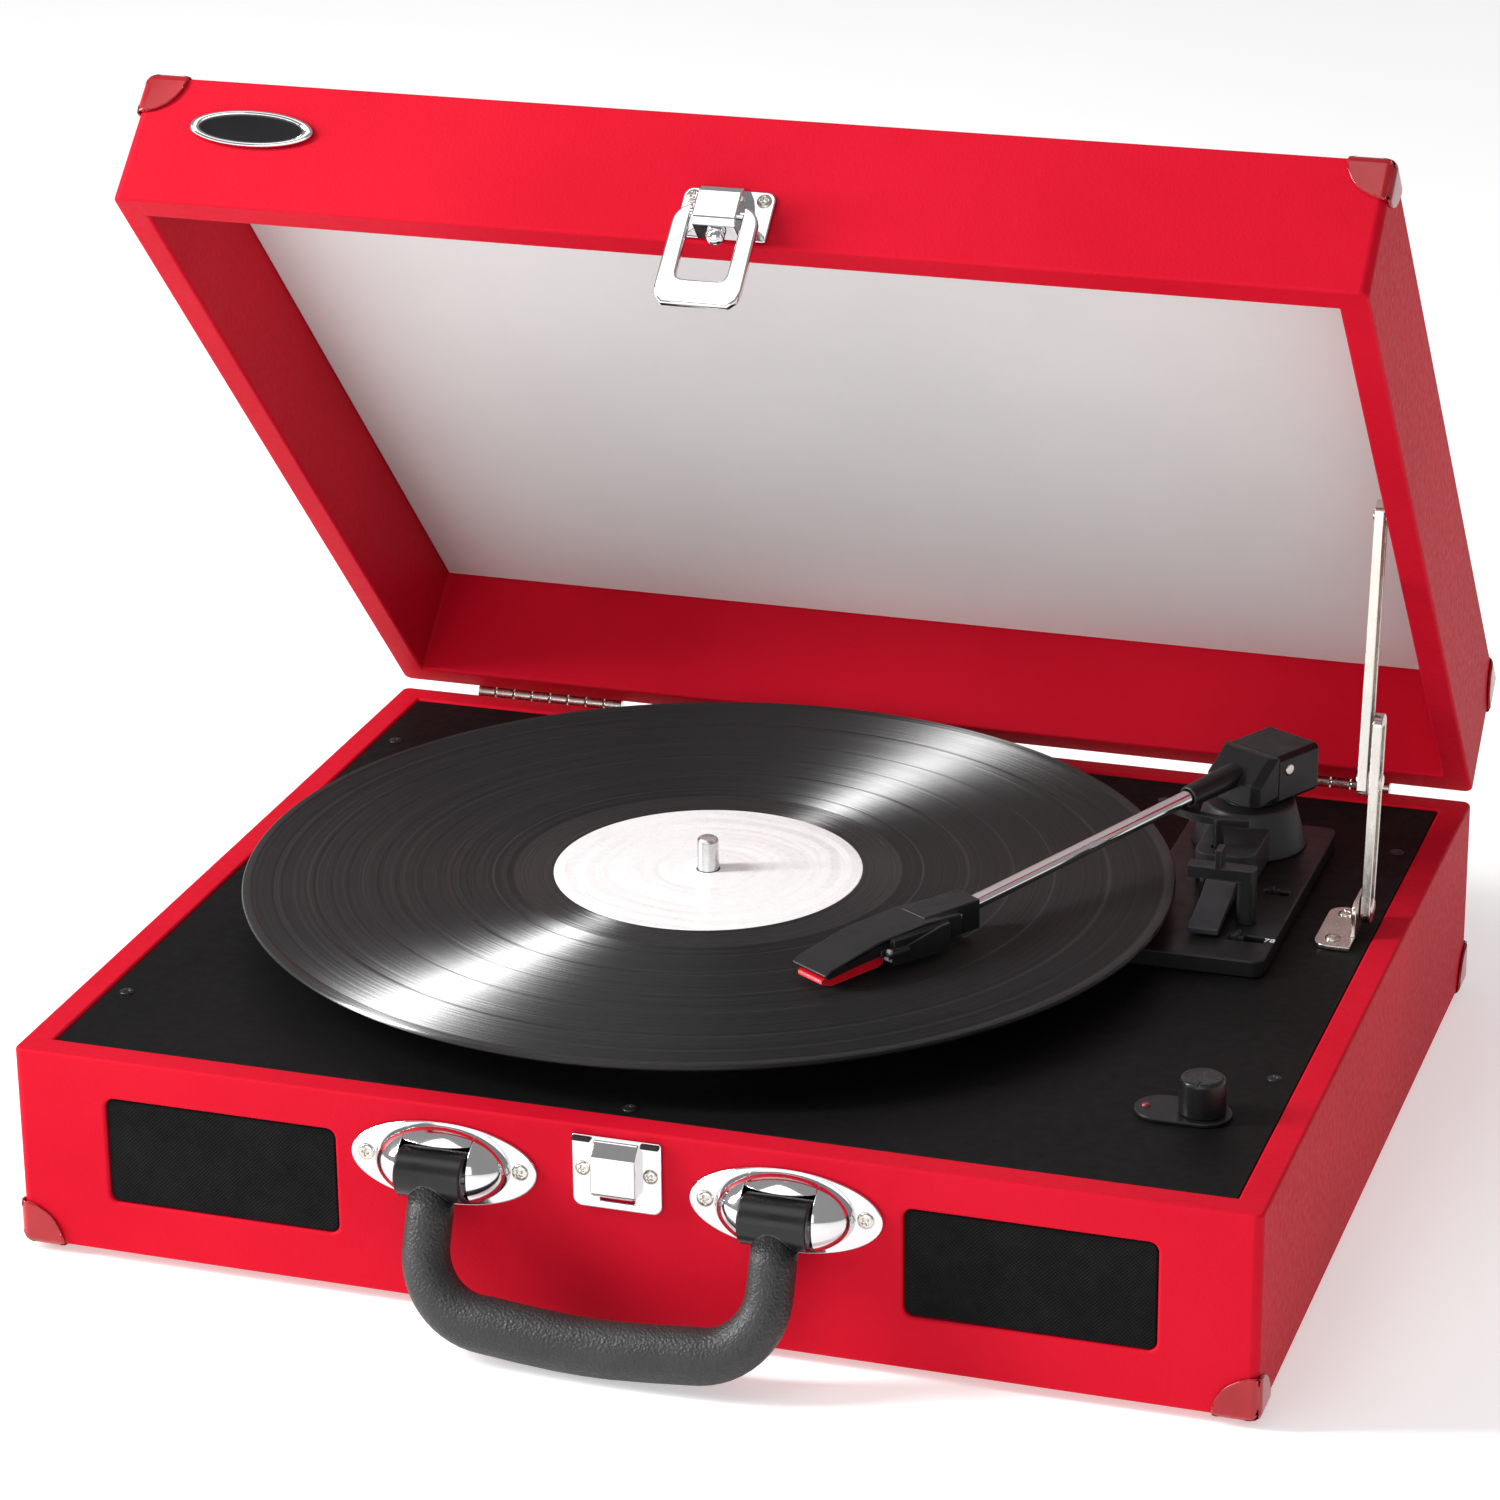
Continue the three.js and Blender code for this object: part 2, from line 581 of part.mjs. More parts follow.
function addStay(lid) {
  const { baseY, baseZ, lower, upper, tail, end, halfW, lowerX, upperX, t, slope } = STAY;
  const tabX1 = lowerX - t / 2 - GAP;
  const tabX0 = tabX1 - 1.4;
  const footLow = DECK_TOP + 0.2;
  const footOutline = rounded(168.4, tabX1, baseY - 19, baseY + 13, [5, 0, 0, 5]);
  const foot = slab(footOutline, footLow, footLow + 1.4, 4);
  const tabOutline = rounded(baseY - 10, baseY + 8, footLow, baseZ + 4.4, [0, 0, 4, 4]);
  const tab = sideSlab(tabOutline, tabX0, tabX1, 4);
  const baseRivet = rod("x", tabX0 - 0.8, lowerX + t / 2 + 0.3, baseY, baseZ, 1.4, 1.4, 12);
  add(player, "stay_bracket", foot.add(tab).add(baseRivet), LOOKS.nickel);

  const lowerArm = new THREE.Group();
  lowerArm.position.set(0, baseY, baseZ);
  lowerArm.rotation.x = rad(slope);
  player.add(lowerArm);
  const elbowHead = rod("x", lowerX + t / 2 - 0.5, lowerX + t / 2 + 0.8, lower, 0, 2.6, 2.2, 16);
  const lowerBody = stayArm(-end, lower + tail, lowerX, 0)
    .add(box(lowerX - t / 2, lowerX + t / 2, lower - 3, lower + 3, -halfW, halfW))
    .add(elbowHead);
  add(lowerArm, "stay_lower_arm", lowerBody, LOOKS.nickel);

  const along = lower + upper;
  const pivotY = baseY + along * Math.cos(rad(slope));
  const pivotZ = baseZ + along * Math.sin(rad(slope));
  const upperArm = new THREE.Group();
  upperArm.position.set(0, pivotY, pivotZ);
  upperArm.rotation.x = rad(slope + 180);
  player.add(upperArm);
  const elbowNub = rod("x", upperX - t / 2 - 0.8, upperX - t / 2 + 0.5, upper, 0, 1.8, 2.2, 16);
  const upperBody = stayArm(-end, upper + end, upperX, 0)
    .add(box(upperX - t / 2, upperX + t / 2, upper - 3, upper + 3, -halfW, halfW))
    .add(elbowNub);
  add(upperArm, "stay_upper_arm", upperBody, LOOKS.nickel);

  // The stud on the lid's side wall that carries the upper arm, placed where the open lid puts it.
  const open = rad(LID_OPEN);
  const dy = pivotY - HINGE_Y;
  const dz = pivotZ - HINGE_Z;
  const lidY = dy * Math.cos(open) - dz * Math.sin(open);
  const lidZ = dy * Math.sin(open) + dz * Math.cos(open);
  const wall = INNER_W / 2 - GAP;
  const stud = rod("x", upperX - t / 2 - 1, wall, lidY, lidZ, 1.4, 1.4, 12)
    .add(rod("x", upperX + t / 2 + GAP, wall, lidY, lidZ, 3.2, 4.4, 16))
    .add(sideSlab(rounded(lidY - 12, lidY + 12, lidZ - 6, lidZ + 6, 5.5), wall - 1.2, wall, 4));
  add(lid, "stay_lid_stud", stud, LOOKS.nickel);
}

// ---------- platter and drive ----------
function pulleyCentre() {
  const a = rad(PULLEY.bearing);
  return [SPINDLE.x + PULLEY.distance * Math.cos(a), SPINDLE.y + PULLEY.distance * Math.sin(a)];
}

function addPlatter() {
  const turning = new THREE.Group();
  turning.position.set(SPINDLE.x, SPINDLE.y, 0);
  player.add(turning);
  const recordLow = RECORD.top - RECORD.t;
  const matTop = recordLow - 0.2;
  const matLow = matTop - MAT.t;
  const platterTop = matLow - 0.2;
  const low = platterTop - PLATTER.skirt;
  const webLow = platterTop - PLATTER.web;
  const { r, hole } = RECORD;
  const top = RECORD.top;
  add(
    turning,
    "vinyl_record",
    lathe([
      [hole, recordLow],
      [r - 0.6, recordLow],
      [r, recordLow + 0.7],
      [r, top - 0.9],
      [r - 1.2, top],
      [hole, top],
      [hole, recordLow],
    ], 60),
    LOOKS.vinyl,
  );
  add(
    turning,
    "slip_mat",
    lathe([[hole, matLow], [MAT.r, matLow], [MAT.r, matTop], [hole, matTop], [hole, matLow]], 40),
    LOOKS.rubber,
  );
  const drum = PLATTER.drumR;
  const drumIn = drum - PLATTER.drumWall;
  add(
    turning,
    "platter",
    lathe([
      [hole, webLow],
      [drumIn, webLow],
      [drumIn, low],
      [drum, low],
      [drum, webLow],
      [PLATTER.r - 3, webLow],
      [PLATTER.r - 3, low],
      [PLATTER.r, low],
      [PLATTER.r, platterTop - 1],
      [PLATTER.r - 1, platterTop],
      [hole, platterTop],
      [hole, webLow],
    ], 44),
    LOOKS.nickel,
  );
  const tip = top + SPINDLE.up;
  const shaftLow = 44;
  add(
    turning,
    "spindle",
    lathe([
      [0, shaftLow],
      [SPINDLE.r, shaftLow],
      [SPINDLE.r, tip - 1.4],
      [SPINDLE.r - 0.5, tip - 0.5],
      [SPINDLE.r - 1.6, tip],
      [0, tip],
    ], 24),
    LOOKS.nickel,
  );
  const bearing = lathe([
    [3.9, 46],
    [7.5, 46],
    [7.5, DECK_BOTTOM - 4],
    [12, DECK_BOTTOM - 3.5],
    [12, DECK_BOTTOM - GAP],
    [7.5, DECK_BOTTOM - GAP],
    [7.5, low - 0.6],
    [3.9, low - 0.6],
    [3.9, 46],
  ], 24);
  add(turning, "platter_bearing", bearing, LOOKS.nickel);
  return { low, webLow };
}

function addDrive({ low, webLow }) {
  const [px, py] = pulleyCentre();
  const z0 = low + 0.6;
  const z1 = z0 + BELT.h;
  const motorTop = DECK_BOTTOM - GAP;
  const motor = rod("z", motorTop - 26, motorTop, px, py, 18, 18, 28)
    .add(box(px - 26, px + 26, py - 6, py + 6, motorTop - 1.6, motorTop))
    .subtract(rod("z", motorTop - 14, motorTop + 1, px, py, 1.7, 1.7, 12));
  add(player, "motor", motor, LOOKS.nickel);
  const pulley = rod("z", z0 - 1, webLow - 0.4, px, py, PULLEY.r, PULLEY.r, 24)
    .add(rod("z", z0 - 1.6, z0 - 0.4, px, py, PULLEY.r + 1.2, PULLEY.r + 1.2, 24))
    .add(rod("z", motorTop - 12, z0, px, py, 1.2, 1.2, 12));
  add(player, "motor_pulley", pulley, LOOKS.stylus);

  // The belt runs round the platter's drum and the pulley, with straight runs between their outer tangents.
  const loop = (clearance) => {
    const R = PLATTER.drumR + clearance;
    const r = PULLEY.r + clearance;
    const lean = Math.acos((R - r) / PULLEY.distance);
    const s = new THREE.Shape();
    s.absarc(0, 0, R, lean, 2 * Math.PI - lean, false);
    s.absarc(PULLEY.distance, 0, r, -lean, lean, false);
    return s;
  };
  const shape = loop(0.3 + BELT.t);
  shape.holes.push(loop(0.3));
  const g = raise(shape, z1 - z0, 14)
    .rotateZ(rad(PULLEY.bearing))
    .translate(SPINDLE.x, SPINDLE.y, z0);
  add(player, "drive_belt", solid(g), LOOKS.rubber);
}

// ---------- tonearm ----------
function addTonearmBase() {
  const { x0, x1, y0, y1, r } = ARM_PLATE;
  const low = DECK_TOP + 0.2;
  let plate = slab(rounded(x0, x1, y0, y1, r), low, PLATE_TOP, 4);
  plate = plate
    .subtract(rod("z", low - 1, PLATE_TOP + 1, ARM.x, ARM.y, 7.5, 7.5, 16))
    .subtract(sliderSlot(SPEED, 2.3))
    .subtract(sliderSlot(AUTOSTOP, 1.6));
  // ears that carry the cueing lever
  for (const x of [CUE.x0 - 2.4, CUE.x1 + 0.4]) {
    plate = plate.add(
      sideSlab(rounded(CUE.y - 5, CUE.y + 5, PLATE_TOP - 1, CUE.z + 3.2, [0, 0, 3, 3]), x, x + 2, 3),
    );
  }
  plate = plate.add(rod("x", CUE.x0 - 1, CUE.x1 + 1, CUE.y, CUE.z, 1.1, 1.1, 12));
  add(player, "tonearm_plate", plate, LOOKS.plastic);

  const { r0, r1, top } = ARM_POST;
  // the post and the guide of the cueing lift beside it are one moulding
  const stem = liftStem();
  const guideTop = PLATE_TOP + 11;
  const foot = PLATE_TOP + 0.2;
  const guide = rounded(stem.x - 7, stem.x + 13, stem.y - 7, ARM.y - r1, [5.5, 5.5, 0, 0]);
  const post = lathe([[4, foot], [r0, foot], [r1 + 0.6, top - 1], [r1, top], [4, top], [4, foot]], 32)
    .translate([ARM.x, ARM.y, 0])
    .add(slab(guide, foot, guideTop, 4))
    .subtract(rod("z", PLATE_TOP, guideTop + 1, stem.x, stem.y, 2.2, 2.2, 16));
  add(player, "tonearm_post", post, LOOKS.plastic);
  add(player, "speed_slider", slider(SPEED, 1.8), LOOKS.plastic);
  add(player, "autostop_slider", slider(AUTOSTOP, 1.1), LOOKS.plastic);
}

const sliderSlot = ({ x, y, travel }, half) =>
  box(x - 2.5, x + travel + 2.5, y - half, y + half, DECK_TOP + 1.7, PLATE_TOP + 1);

const slider = ({ x, y }, half) =>
  box(x - 2.1, x + 2.1, y - half, y + half, PLATE_TOP - 3.6, PLATE_TOP + 1)
    .add(box(x - 0.6, x + 0.6, y - half, y + half, PLATE_TOP, PLATE_TOP + 1.8));

function addCueing() {
  // A bent lever: a short steep facet from its axle and a long shallow one that ends in front.
  const { x0, x1, y, z, lowY } = CUE;
  const lever = sideSlab(
    polygon([
      [y + 4, z - 2.2],
      [y + 4, z + 2.4],
      [y - 3, z + 3],
      [y - 13, z - 0.6],
      [lowY, PLATE_TOP + 3],
      [lowY, PLATE_TOP + 1],
      [y - 14, z - 3.4],
      [y - 4, z - 3],
    ]),
    x0, x1,
  );
  add(player, "cue_lever", lever.subtract(rod("x", x0 - 1, x1 + 1, y, z, 1.45, 1.45, 12)), LOOKS.plastic);

  // The lift is an arc about the tonearm's axis, on a stem that slides in the post's guide.
  const mid = 270 - 2;
  const arc = new THREE.Shape();
  const from = rad(mid - LIFT.halfAngle - 14);
  const to = rad(mid + LIFT.halfAngle - 18);
  arc.absarc(ARM.x, ARM.y, LIFT.r + LIFT.w / 2, from, to, false);
  arc.absarc(ARM.x, ARM.y, LIFT.r - LIFT.w / 2, to, from, true);
  const top = armTubeZ(LIFT.r) - ARM.tubeR - 0.5;
  const stem = liftStem();
  const bar = slab(arc, top - LIFT.t, top, 14)
    .add(rod("z", PLATE_TOP + 6, top - 0.5, stem.x, stem.y, 1.8, 1.8, 16));
  add(player, "cue_lift", bar, LOOKS.plastic);
}

const liftStem = () => ({ x: ARM.x - 3, y: ARM.y - LIFT.r });

// Height of the tube's centre line at a distance from the tonearm's vertical axis.
const armTubeZ = (distance) => ARM.tubeZ - distance * Math.tan(rad(ARM.tubeRise));

function addArmRest() {
  const y = 28;
  const reach = ARM.y - y;
  const floor = armTubeZ(reach) - ARM.tubeR - 1;
  const x = 147;
  const post = slab(rounded(x - 3, x + 3, y - 3, y + 3, 2), PLATE_TOP + 0.2, floor, 3)
    .add(sideSlab(rounded(y - 3, y + 3, floor - 4, floor, 0), 128, x + 2))
    .add(box(137, 139, y - 3, y + 3, floor - 1, floor + 6));
  add(player, "arm_rest", post, LOOKS.plastic);
}

function addTonearm() {
  const arm = new THREE.Group();
  arm.position.set(ARM.x, ARM.y, 0);
  arm.rotation.z = rad(ARM.heading);
  player.add(arm);
  const { rear, front, top, low, halfW, cheek, slope } = BLOCK;
  const seam = -1;
  const inner = halfW - cheek - GAP;

  // yoke: a foot turning in the post, a floor, a rear wall, two cheeks and the pin for the block
  let yoke = box(rear, seam, -halfW, halfW, low, top - 1).subtract(
    box(rear + 3, seam + 1, -halfW + cheek, halfW - cheek, low + 3, top),
  );
  yoke = yoke
    .add(rod("z", DECK_BOTTOM, low + 1, 0, 0, 3.6, 3.6, 20))
    .add(rod("z", ARM_POST.top + 0.2, low + 0.6, 0, 0, 9, 9, 24))
    .add(rod("y", -halfW - 0.4, halfW + 0.4, ARM.liftX, ARM.liftZ, 1, 1, 12));
  add(arm, "tonearm_yoke", yoke, LOOKS.plastic);

  // block: the counterweighted head between the cheeks, with a sloping front
  const head = wallSlab(
    polygon([
      [seam + GAP, low + 3.4],
      [front, low + 1.6],
      [front, top - slope],
      [1, top],
      [seam + GAP, top],
    ]),
    -halfW, halfW,
  );
  const core = box(rear + 4.2, seam + 1, -inner, inner, low + 4.4, top - 1.2);
  const collarFrom = 6;
  const collar = tilted(rod("x", collarFrom, 31, 0, 0, 4.2, 3.6, 20));
  const sleeveR = ARM.tubeR + 0.2;
  const sleeve = tilted(rod("x", collarFrom - 1, ARM.tubeFrom + 23.3, 0, 0, sleeveR, sleeveR, 16));
  const block = head.add(core).add(collar)
    .subtract(rod("y", -halfW - 1, halfW + 1, ARM.liftX, ARM.liftZ, 1.25, 1.25, 12))
    .subtract(sleeve);
  add(arm, "tonearm_block", block, LOOKS.plastic);
  const tube = rod("x", ARM.tubeFrom, ARM.tubeTo, 0, 0, ARM.tubeR, ARM.tubeR, 16);
  add(arm, "tonearm_tube", tilted(tube), LOOKS.chrome);
  addHeadshell(arm);
}

// Turns a solid drawn along +X onto the sloping centre line of the tube.
function tilted(shape) {
  return shape.rotate([0, ARM.tubeRise, 0]).translate([0, 0, ARM.tubeZ]);
}

function addHeadshell(arm) {
  const shell = new THREE.Group();
  shell.position.set(ARM.tubeTo - 4, 0, 0);
  shell.rotation.z = rad(ARM.shellTurn);
  arm.add(shell);
  const z = armTubeZ(ARM.tubeTo);
  // body: a hollow wedge that carries the cartridge, its clamp holding the tube
  const side = wallSlab(
    polygon([
      [4, z - 3.6],
      [31, z - 3.6],
      [33, z - 1.2],
      [47, z - 2.2],
      [58, z - 3.4],
      [59.4, z - 1.8],
      [57, z - 0.4],
      [38, z + 3.6],
      [18, z + 4.6],
      [4, z + 3.6],
    ]),
    -8, 8,
  );
  const clamp = box(-6, 17, -5.4, 5.4, z - 5, z + 5);
  const fingerLift = sideSlab(rounded(7.6, 11.4, z - 2, z + 0.4, 0.8), 28, 37, 2);
  const body = side
    .add(clamp)
    .add(box(10, 33, 5, 9.5, z - 5.4, z + 3))
    .add(fingerLift)
    .add(box(28, 36, 7, 9, z - 1.6, z));
  const bore = rod("x", -10, 4.6, 0, 0, ARM.tubeR + 0.25, ARM.tubeR + 0.25, 16)
    .rotate([0, ARM.tubeRise, -ARM.shellTurn])
    .translate([0, 0, z + 0.3]);
  add(shell, "headshell", body.subtract(bore), LOOKS.plastic);

  const low = RECORD.top + 0.5;
  const cartridge = wallSlab(
    polygon([
      [34, z - 1.9],
      [34, low + 1.8],
      [36, low + 0.9],
      [55, low],
      [59, low + 1.6],
      [59, z - 4],
      [57.8, z - 3.7],
      [47, z - 2.5],
    ]),
    -5.6, 5.6,
  );
  add(shell, "stylus_cartridge", cartridge, LOOKS.stylus);
}

// ---------- controls and electronics ----------
function addControls() {
  const { x0, x1, y, depth, t } = CONTROL;
  const low = DECK_TOP + 0.2;
  const plate = slab(rounded(x0, x1, y - depth / 2, y + depth / 2, depth / 2 - 0.05), low, low + t, 8)
    .subtract(rod("z", low - 1, low + t + 1, KNOB.x, KNOB.y, 4, 4, 16));
  add(player, "control_plate", plate, LOOKS.plastic);
  const knobLow = low + t + 0.3;
  const knobTop = knobLow + KNOB.h;
  const knob = new THREE.Group();
  knob.position.set(KNOB.x, KNOB.y, 0);
  player.add(knob);
  add(
    knob,
    "volume_knob",
    lathe([
      [0, 50],
      [2.6, 50],
      [2.6, knobLow],
      [KNOB.r, knobLow],
      [KNOB.r - 0.3, knobTop - 1.1],
      [KNOB.r - 1.2, knobTop],
      [0, knobTop],
    ], 28),
    LOOKS.plastic,
  );
  const board = box(118, 180, -120, -70, 40, 41.6)
    .add(box(KNOB.x - 8, KNOB.x + 8, KNOB.y - 8, KNOB.y + 8, 41, 56))
    .subtract(rod("z", 48, 57, KNOB.x, KNOB.y, 3, 3, 16))
    .add(box(124, 136, -116, -96, 41, 52))
    .add(rod("z", 41, 54, 130, -84, 6, 6, 16));
  const legs = [[121, -117], [121, -73], [176, -73]];
  const standing = legs.reduce(
    (s, [lx, ly]) => s.add(rod("z", BOTTOM_T + 0.2, 41, lx, ly, 2.5, 2.5, 10)),
    board,
  );
  add(player, "circuit_board", standing, LOOKS.circuit);

  const rear = REAR + 0.2;
  const panel = wallSlab(rounded(-33, 33, 18, 44, 3), rear, rear + 1.4, 3)
    .add(box(-27, 27, REAR - 9, rear + 0.5, 23, 39));
  const sockets = [-18, -4].reduce((s, x) => s.add(rod("y", rear, rear + 7, x, 31, 4.2, 4.2, 16)), panel);
  add(player, "jack_plate", sockets.subtract(rod("y", rear - 6, rear + 3, 16, 31, 3, 3, 16)), LOOKS.plastic);
}

// ---------- assembly ----------
const lid = new THREE.Group();
lid.position.set(0, HINGE_Y, HINGE_Z);
lid.rotation.x = -rad(LID_OPEN);
player.add(lid);

addCase();
addFeet();
addSpeakers();
addBaseCorners();
addHinges(lid);
addHandleBrackets();
addHandle();
addCatch();
addLatch(lid);
addLid(lid);
addStay(lid);
addDrive(addPlatter());
addTonearmBase();
addCueing();
addArmRest();
addTonearm();
addControls();

// The origin is the middle of the whole object's footprint, on the surface that its feet stand on.
root.updateMatrixWorld(true);
const bounds = new THREE.Box3().setFromObject(player, true);
player.position.set(-(bounds.min.x + bounds.max.x) / 2, -(bounds.min.y + bounds.max.y) / 2, -bounds.min.z);

export default root;
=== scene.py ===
import json
import math

import bmesh
import bpy
from mathutils import Matrix, Vector

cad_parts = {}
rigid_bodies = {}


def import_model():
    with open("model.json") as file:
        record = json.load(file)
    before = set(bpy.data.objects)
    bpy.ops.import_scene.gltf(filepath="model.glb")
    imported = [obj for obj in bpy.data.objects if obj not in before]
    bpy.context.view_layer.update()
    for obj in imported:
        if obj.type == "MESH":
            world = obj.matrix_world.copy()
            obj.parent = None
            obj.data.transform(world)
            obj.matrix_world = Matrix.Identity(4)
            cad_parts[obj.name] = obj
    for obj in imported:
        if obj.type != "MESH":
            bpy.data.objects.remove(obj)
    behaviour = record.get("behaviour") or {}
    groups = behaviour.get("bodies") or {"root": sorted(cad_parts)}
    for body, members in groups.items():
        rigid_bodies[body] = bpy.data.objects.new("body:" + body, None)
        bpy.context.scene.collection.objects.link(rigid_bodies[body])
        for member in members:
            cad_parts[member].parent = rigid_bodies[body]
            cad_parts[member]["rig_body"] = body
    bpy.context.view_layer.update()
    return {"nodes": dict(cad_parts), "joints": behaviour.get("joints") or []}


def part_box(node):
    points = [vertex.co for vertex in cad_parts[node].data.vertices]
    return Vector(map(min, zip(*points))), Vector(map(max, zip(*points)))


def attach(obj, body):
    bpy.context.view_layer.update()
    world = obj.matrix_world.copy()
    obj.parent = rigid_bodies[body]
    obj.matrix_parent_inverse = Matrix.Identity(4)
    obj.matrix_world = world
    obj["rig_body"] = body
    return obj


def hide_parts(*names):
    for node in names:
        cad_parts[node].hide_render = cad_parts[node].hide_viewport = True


# Suitcase record player: looks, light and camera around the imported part.
# Shapes are written in millimetres in the frame of the body that they belong to.

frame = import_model()
NODES = frame["nodes"]
JOINTS = {j["name"]: j for j in frame["joints"]}
MM = 0.001
SCALE = Matrix.Scale(MM, 4)

case_low, case_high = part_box("base_case")
CASE_ORIGIN = Vector(((case_low.x + case_high.x) / 2, (case_low.y + case_high.y) / 2, case_low.z))
CASE = Matrix.Translation(CASE_ORIGIN) @ SCALE
HALF_W = (case_high.x - case_low.x) / 2 / MM
FRONT = (case_low.y - CASE_ORIGIN.y) / MM
REAR = -FRONT


def moved(x, y, z):
    return Matrix.Translation((x, y, z))


def turned(axis, degrees):
    return Matrix.Rotation(math.radians(degrees), 4, axis)


def joint_place(name):
    return Matrix.Translation(JOINTS[name]["pos_m"])


def box_mm(node):
    """A CAD node's box in case millimetres: x0, x1, y0, y1, z0, z1."""
    low, high = ((corner - CASE_ORIGIN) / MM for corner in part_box(node))
    return low.x, high.x, low.y, high.y, low.z, high.z


def heights(node):
    """Bottom and top of a CAD node in case millimetres."""
    return box_mm(node)[4:]


def middle_of(node):
    """Middle of a CAD node's box in case millimetres."""
    x0, x1, y0, y1, z0, z1 = box_mm(node)
    return Vector((x0 + x1, y0 + y1, z0 + z1)) / 2


LID_CLOSING = JOINTS["lid_hinge"]["range_deg"][0]
LID = joint_place("lid_hinge") @ turned("X", LID_CLOSING) @ SCALE
HANDLE_LEAN = -22.2
HANDLE = joint_place("handle_swing") @ turned("X", HANDLE_LEAN) @ SCALE
tilt_axis = JOINTS["tonearm_tilt"]["axis"]
HEADING = math.atan2(tilt_axis[0], -tilt_axis[1])
arm_x, arm_y, _ = JOINTS["tonearm_yaw"]["pos_m"]
ARM = moved(arm_x, arm_y, CASE_ORIGIN.z) @ Matrix.Rotation(HEADING, 4, "Z") @ SCALE
spindle_x, spindle_y, _ = JOINTS["platter_spin"]["pos_m"]
TURN = moved(spindle_x, spindle_y, CASE_ORIGIN.z) @ SCALE
LID_FRONT = FRONT - (JOINTS["lid_hinge"]["pos_m"][1] - CASE_ORIGIN.y) / MM


# ---------- materials ----------
EDGE_GAIN = 4.0


class Look:
    """A procedural material: builds its node tree step by step around one Principled shader."""

    def __init__(self, name, roughness, metallic=0.0, specular=0.5, coat=0.0, coat_roughness=0.05):
        self.material = bpy.data.materials.new(name)
        self.material.use_nodes = True
        self.tree = self.material.node_tree
        self.shader = self.tree.nodes["Principled BSDF"]
        self.set(
            self.shader, Roughness=roughness, Metallic=metallic, Specular_IOR_Level=specular,
            Coat_Weight=coat, Coat_Roughness=coat_roughness,
        )
        self.where = self.new("ShaderNodeTexCoord").outputs["Object"]

    def new(self, kind, **values):
        made = self.tree.nodes.new(kind)
        self.set(made, **values)
        return made

    def set(self, made, **values):
        for key, value in values.items():
            made.inputs[key.replace("_", " ")].default_value = value

    def link(self, a, b):
        self.tree.links.new(a, b)

    def feed(self, socket, value):
        """Sets a socket to a number or a colour, or links another socket to it."""
        if isinstance(value, tuple):
            socket.default_value = (*value, 1.0)
        elif isinstance(value, float):
            socket.default_value = value
        else:
            self.link(value, socket)

    def stretched(self, scale):
        place = self.new("ShaderNodeMapping", Scale=scale)
        self.link(self.where, place.inputs["Vector"])
        return place.outputs["Vector"]

    def noise(self, scale, detail=3.0, where=None):
        made = self.new("ShaderNodeTexNoise", Scale=scale, Detail=detail, Roughness=0.55)
        self.link(where or self.where, made.inputs["Vector"])
        return made.outputs["Fac"]

    def cells(self, scale):
        made = self.new("ShaderNodeTexVoronoi", Scale=scale)
        made.feature = "SMOOTH_F1"
        self.link(self.where, made.inputs["Vector"])
        return made.outputs["Distance"]

    def ramp(self, factor, stops):
        made = self.new("ShaderNodeValToRGB")
        band = made.color_ramp
        for element, (place, colour) in zip(band.elements, (stops[0], stops[-1])):
            element.position = place
            element.color = (*colour, 1.0)
        for place, colour in stops[1:-1]:
            band.elements.new(place).color = (*colour, 1.0)
        self.link(factor, made.inputs["Fac"])
        return made.outputs["Color"]

    def math(self, operation, a, b=0.0, clamp=False):
        made = self.new("ShaderNodeMath")
        made.operation = operation
        made.use_clamp = clamp
        self.feed(made.inputs[0], a)
        self.feed(made.inputs[1], b)
        return made.outputs["Value"]

    def mixed(self, factor, a, b, blend="MIX"):
        made = self.new("ShaderNodeMix")
        made.data_type = "RGBA"
        made.blend_type = blend
        for place, value in ((0, factor), (6, a), (7, b)):
            self.feed(made.inputs[place], value)
        return made.outputs[2]

    def edges(self, radius):
        """1 on worn outer edges, 0 on flat faces, broken up by noise."""
        bevel = self.new("ShaderNodeBevel", Radius=radius)
        bevel.samples = 4
        flat = self.new("ShaderNodeNewGeometry").outputs["Normal"]
        dot = self.new("ShaderNodeVectorMath")
        dot.operation = "DOT_PRODUCT"
        self.link(bevel.outputs["Normal"], dot.inputs[0])
        self.link(flat, dot.inputs[1])
        away = self.math("SUBTRACT", 1.0, dot.outputs["Value"])
        patchy = self.math("MULTIPLY", away, self.noise(90.0, 4.0))
        return self.math("MULTIPLY", patchy, EDGE_GAIN, clamp=True)

    def colour(self, low, high, scale, wear=None, radius=0.0012):
        tone = self.ramp(self.noise(scale, 5.0), [(0.32, low), (0.68, high)])
        if wear:
            tone = self.mixed(self.edges(radius), tone, wear)
        self.link(tone, self.shader.inputs["Base Color"])
        return self

    def rough(self, low, high, scale, where=None):
        made = self.new("ShaderNodeMapRange", From_Min=0.3, From_Max=0.7, To_Min=low, To_Max=high)
        self.link(self.noise(scale, 4.0, where=where), made.inputs["Value"])
        self.link(made.outputs["Result"], self.shader.inputs["Roughness"])
        return self

    def bump(self, *heights):
        """Each height is (socket, strength, distance in mm)."""
        last = None
        for height, strength, distance in heights:
            made = self.new("ShaderNodeBump", Strength=strength, Distance=distance * MM)
            self.link(height, made.inputs["Height"])
            if last:
                self.link(last, made.inputs["Normal"])
            last = made.outputs["Normal"]
        self.link(last, self.shader.inputs["Normal"])
        return self


def grey(value):
    return (value, value, value)


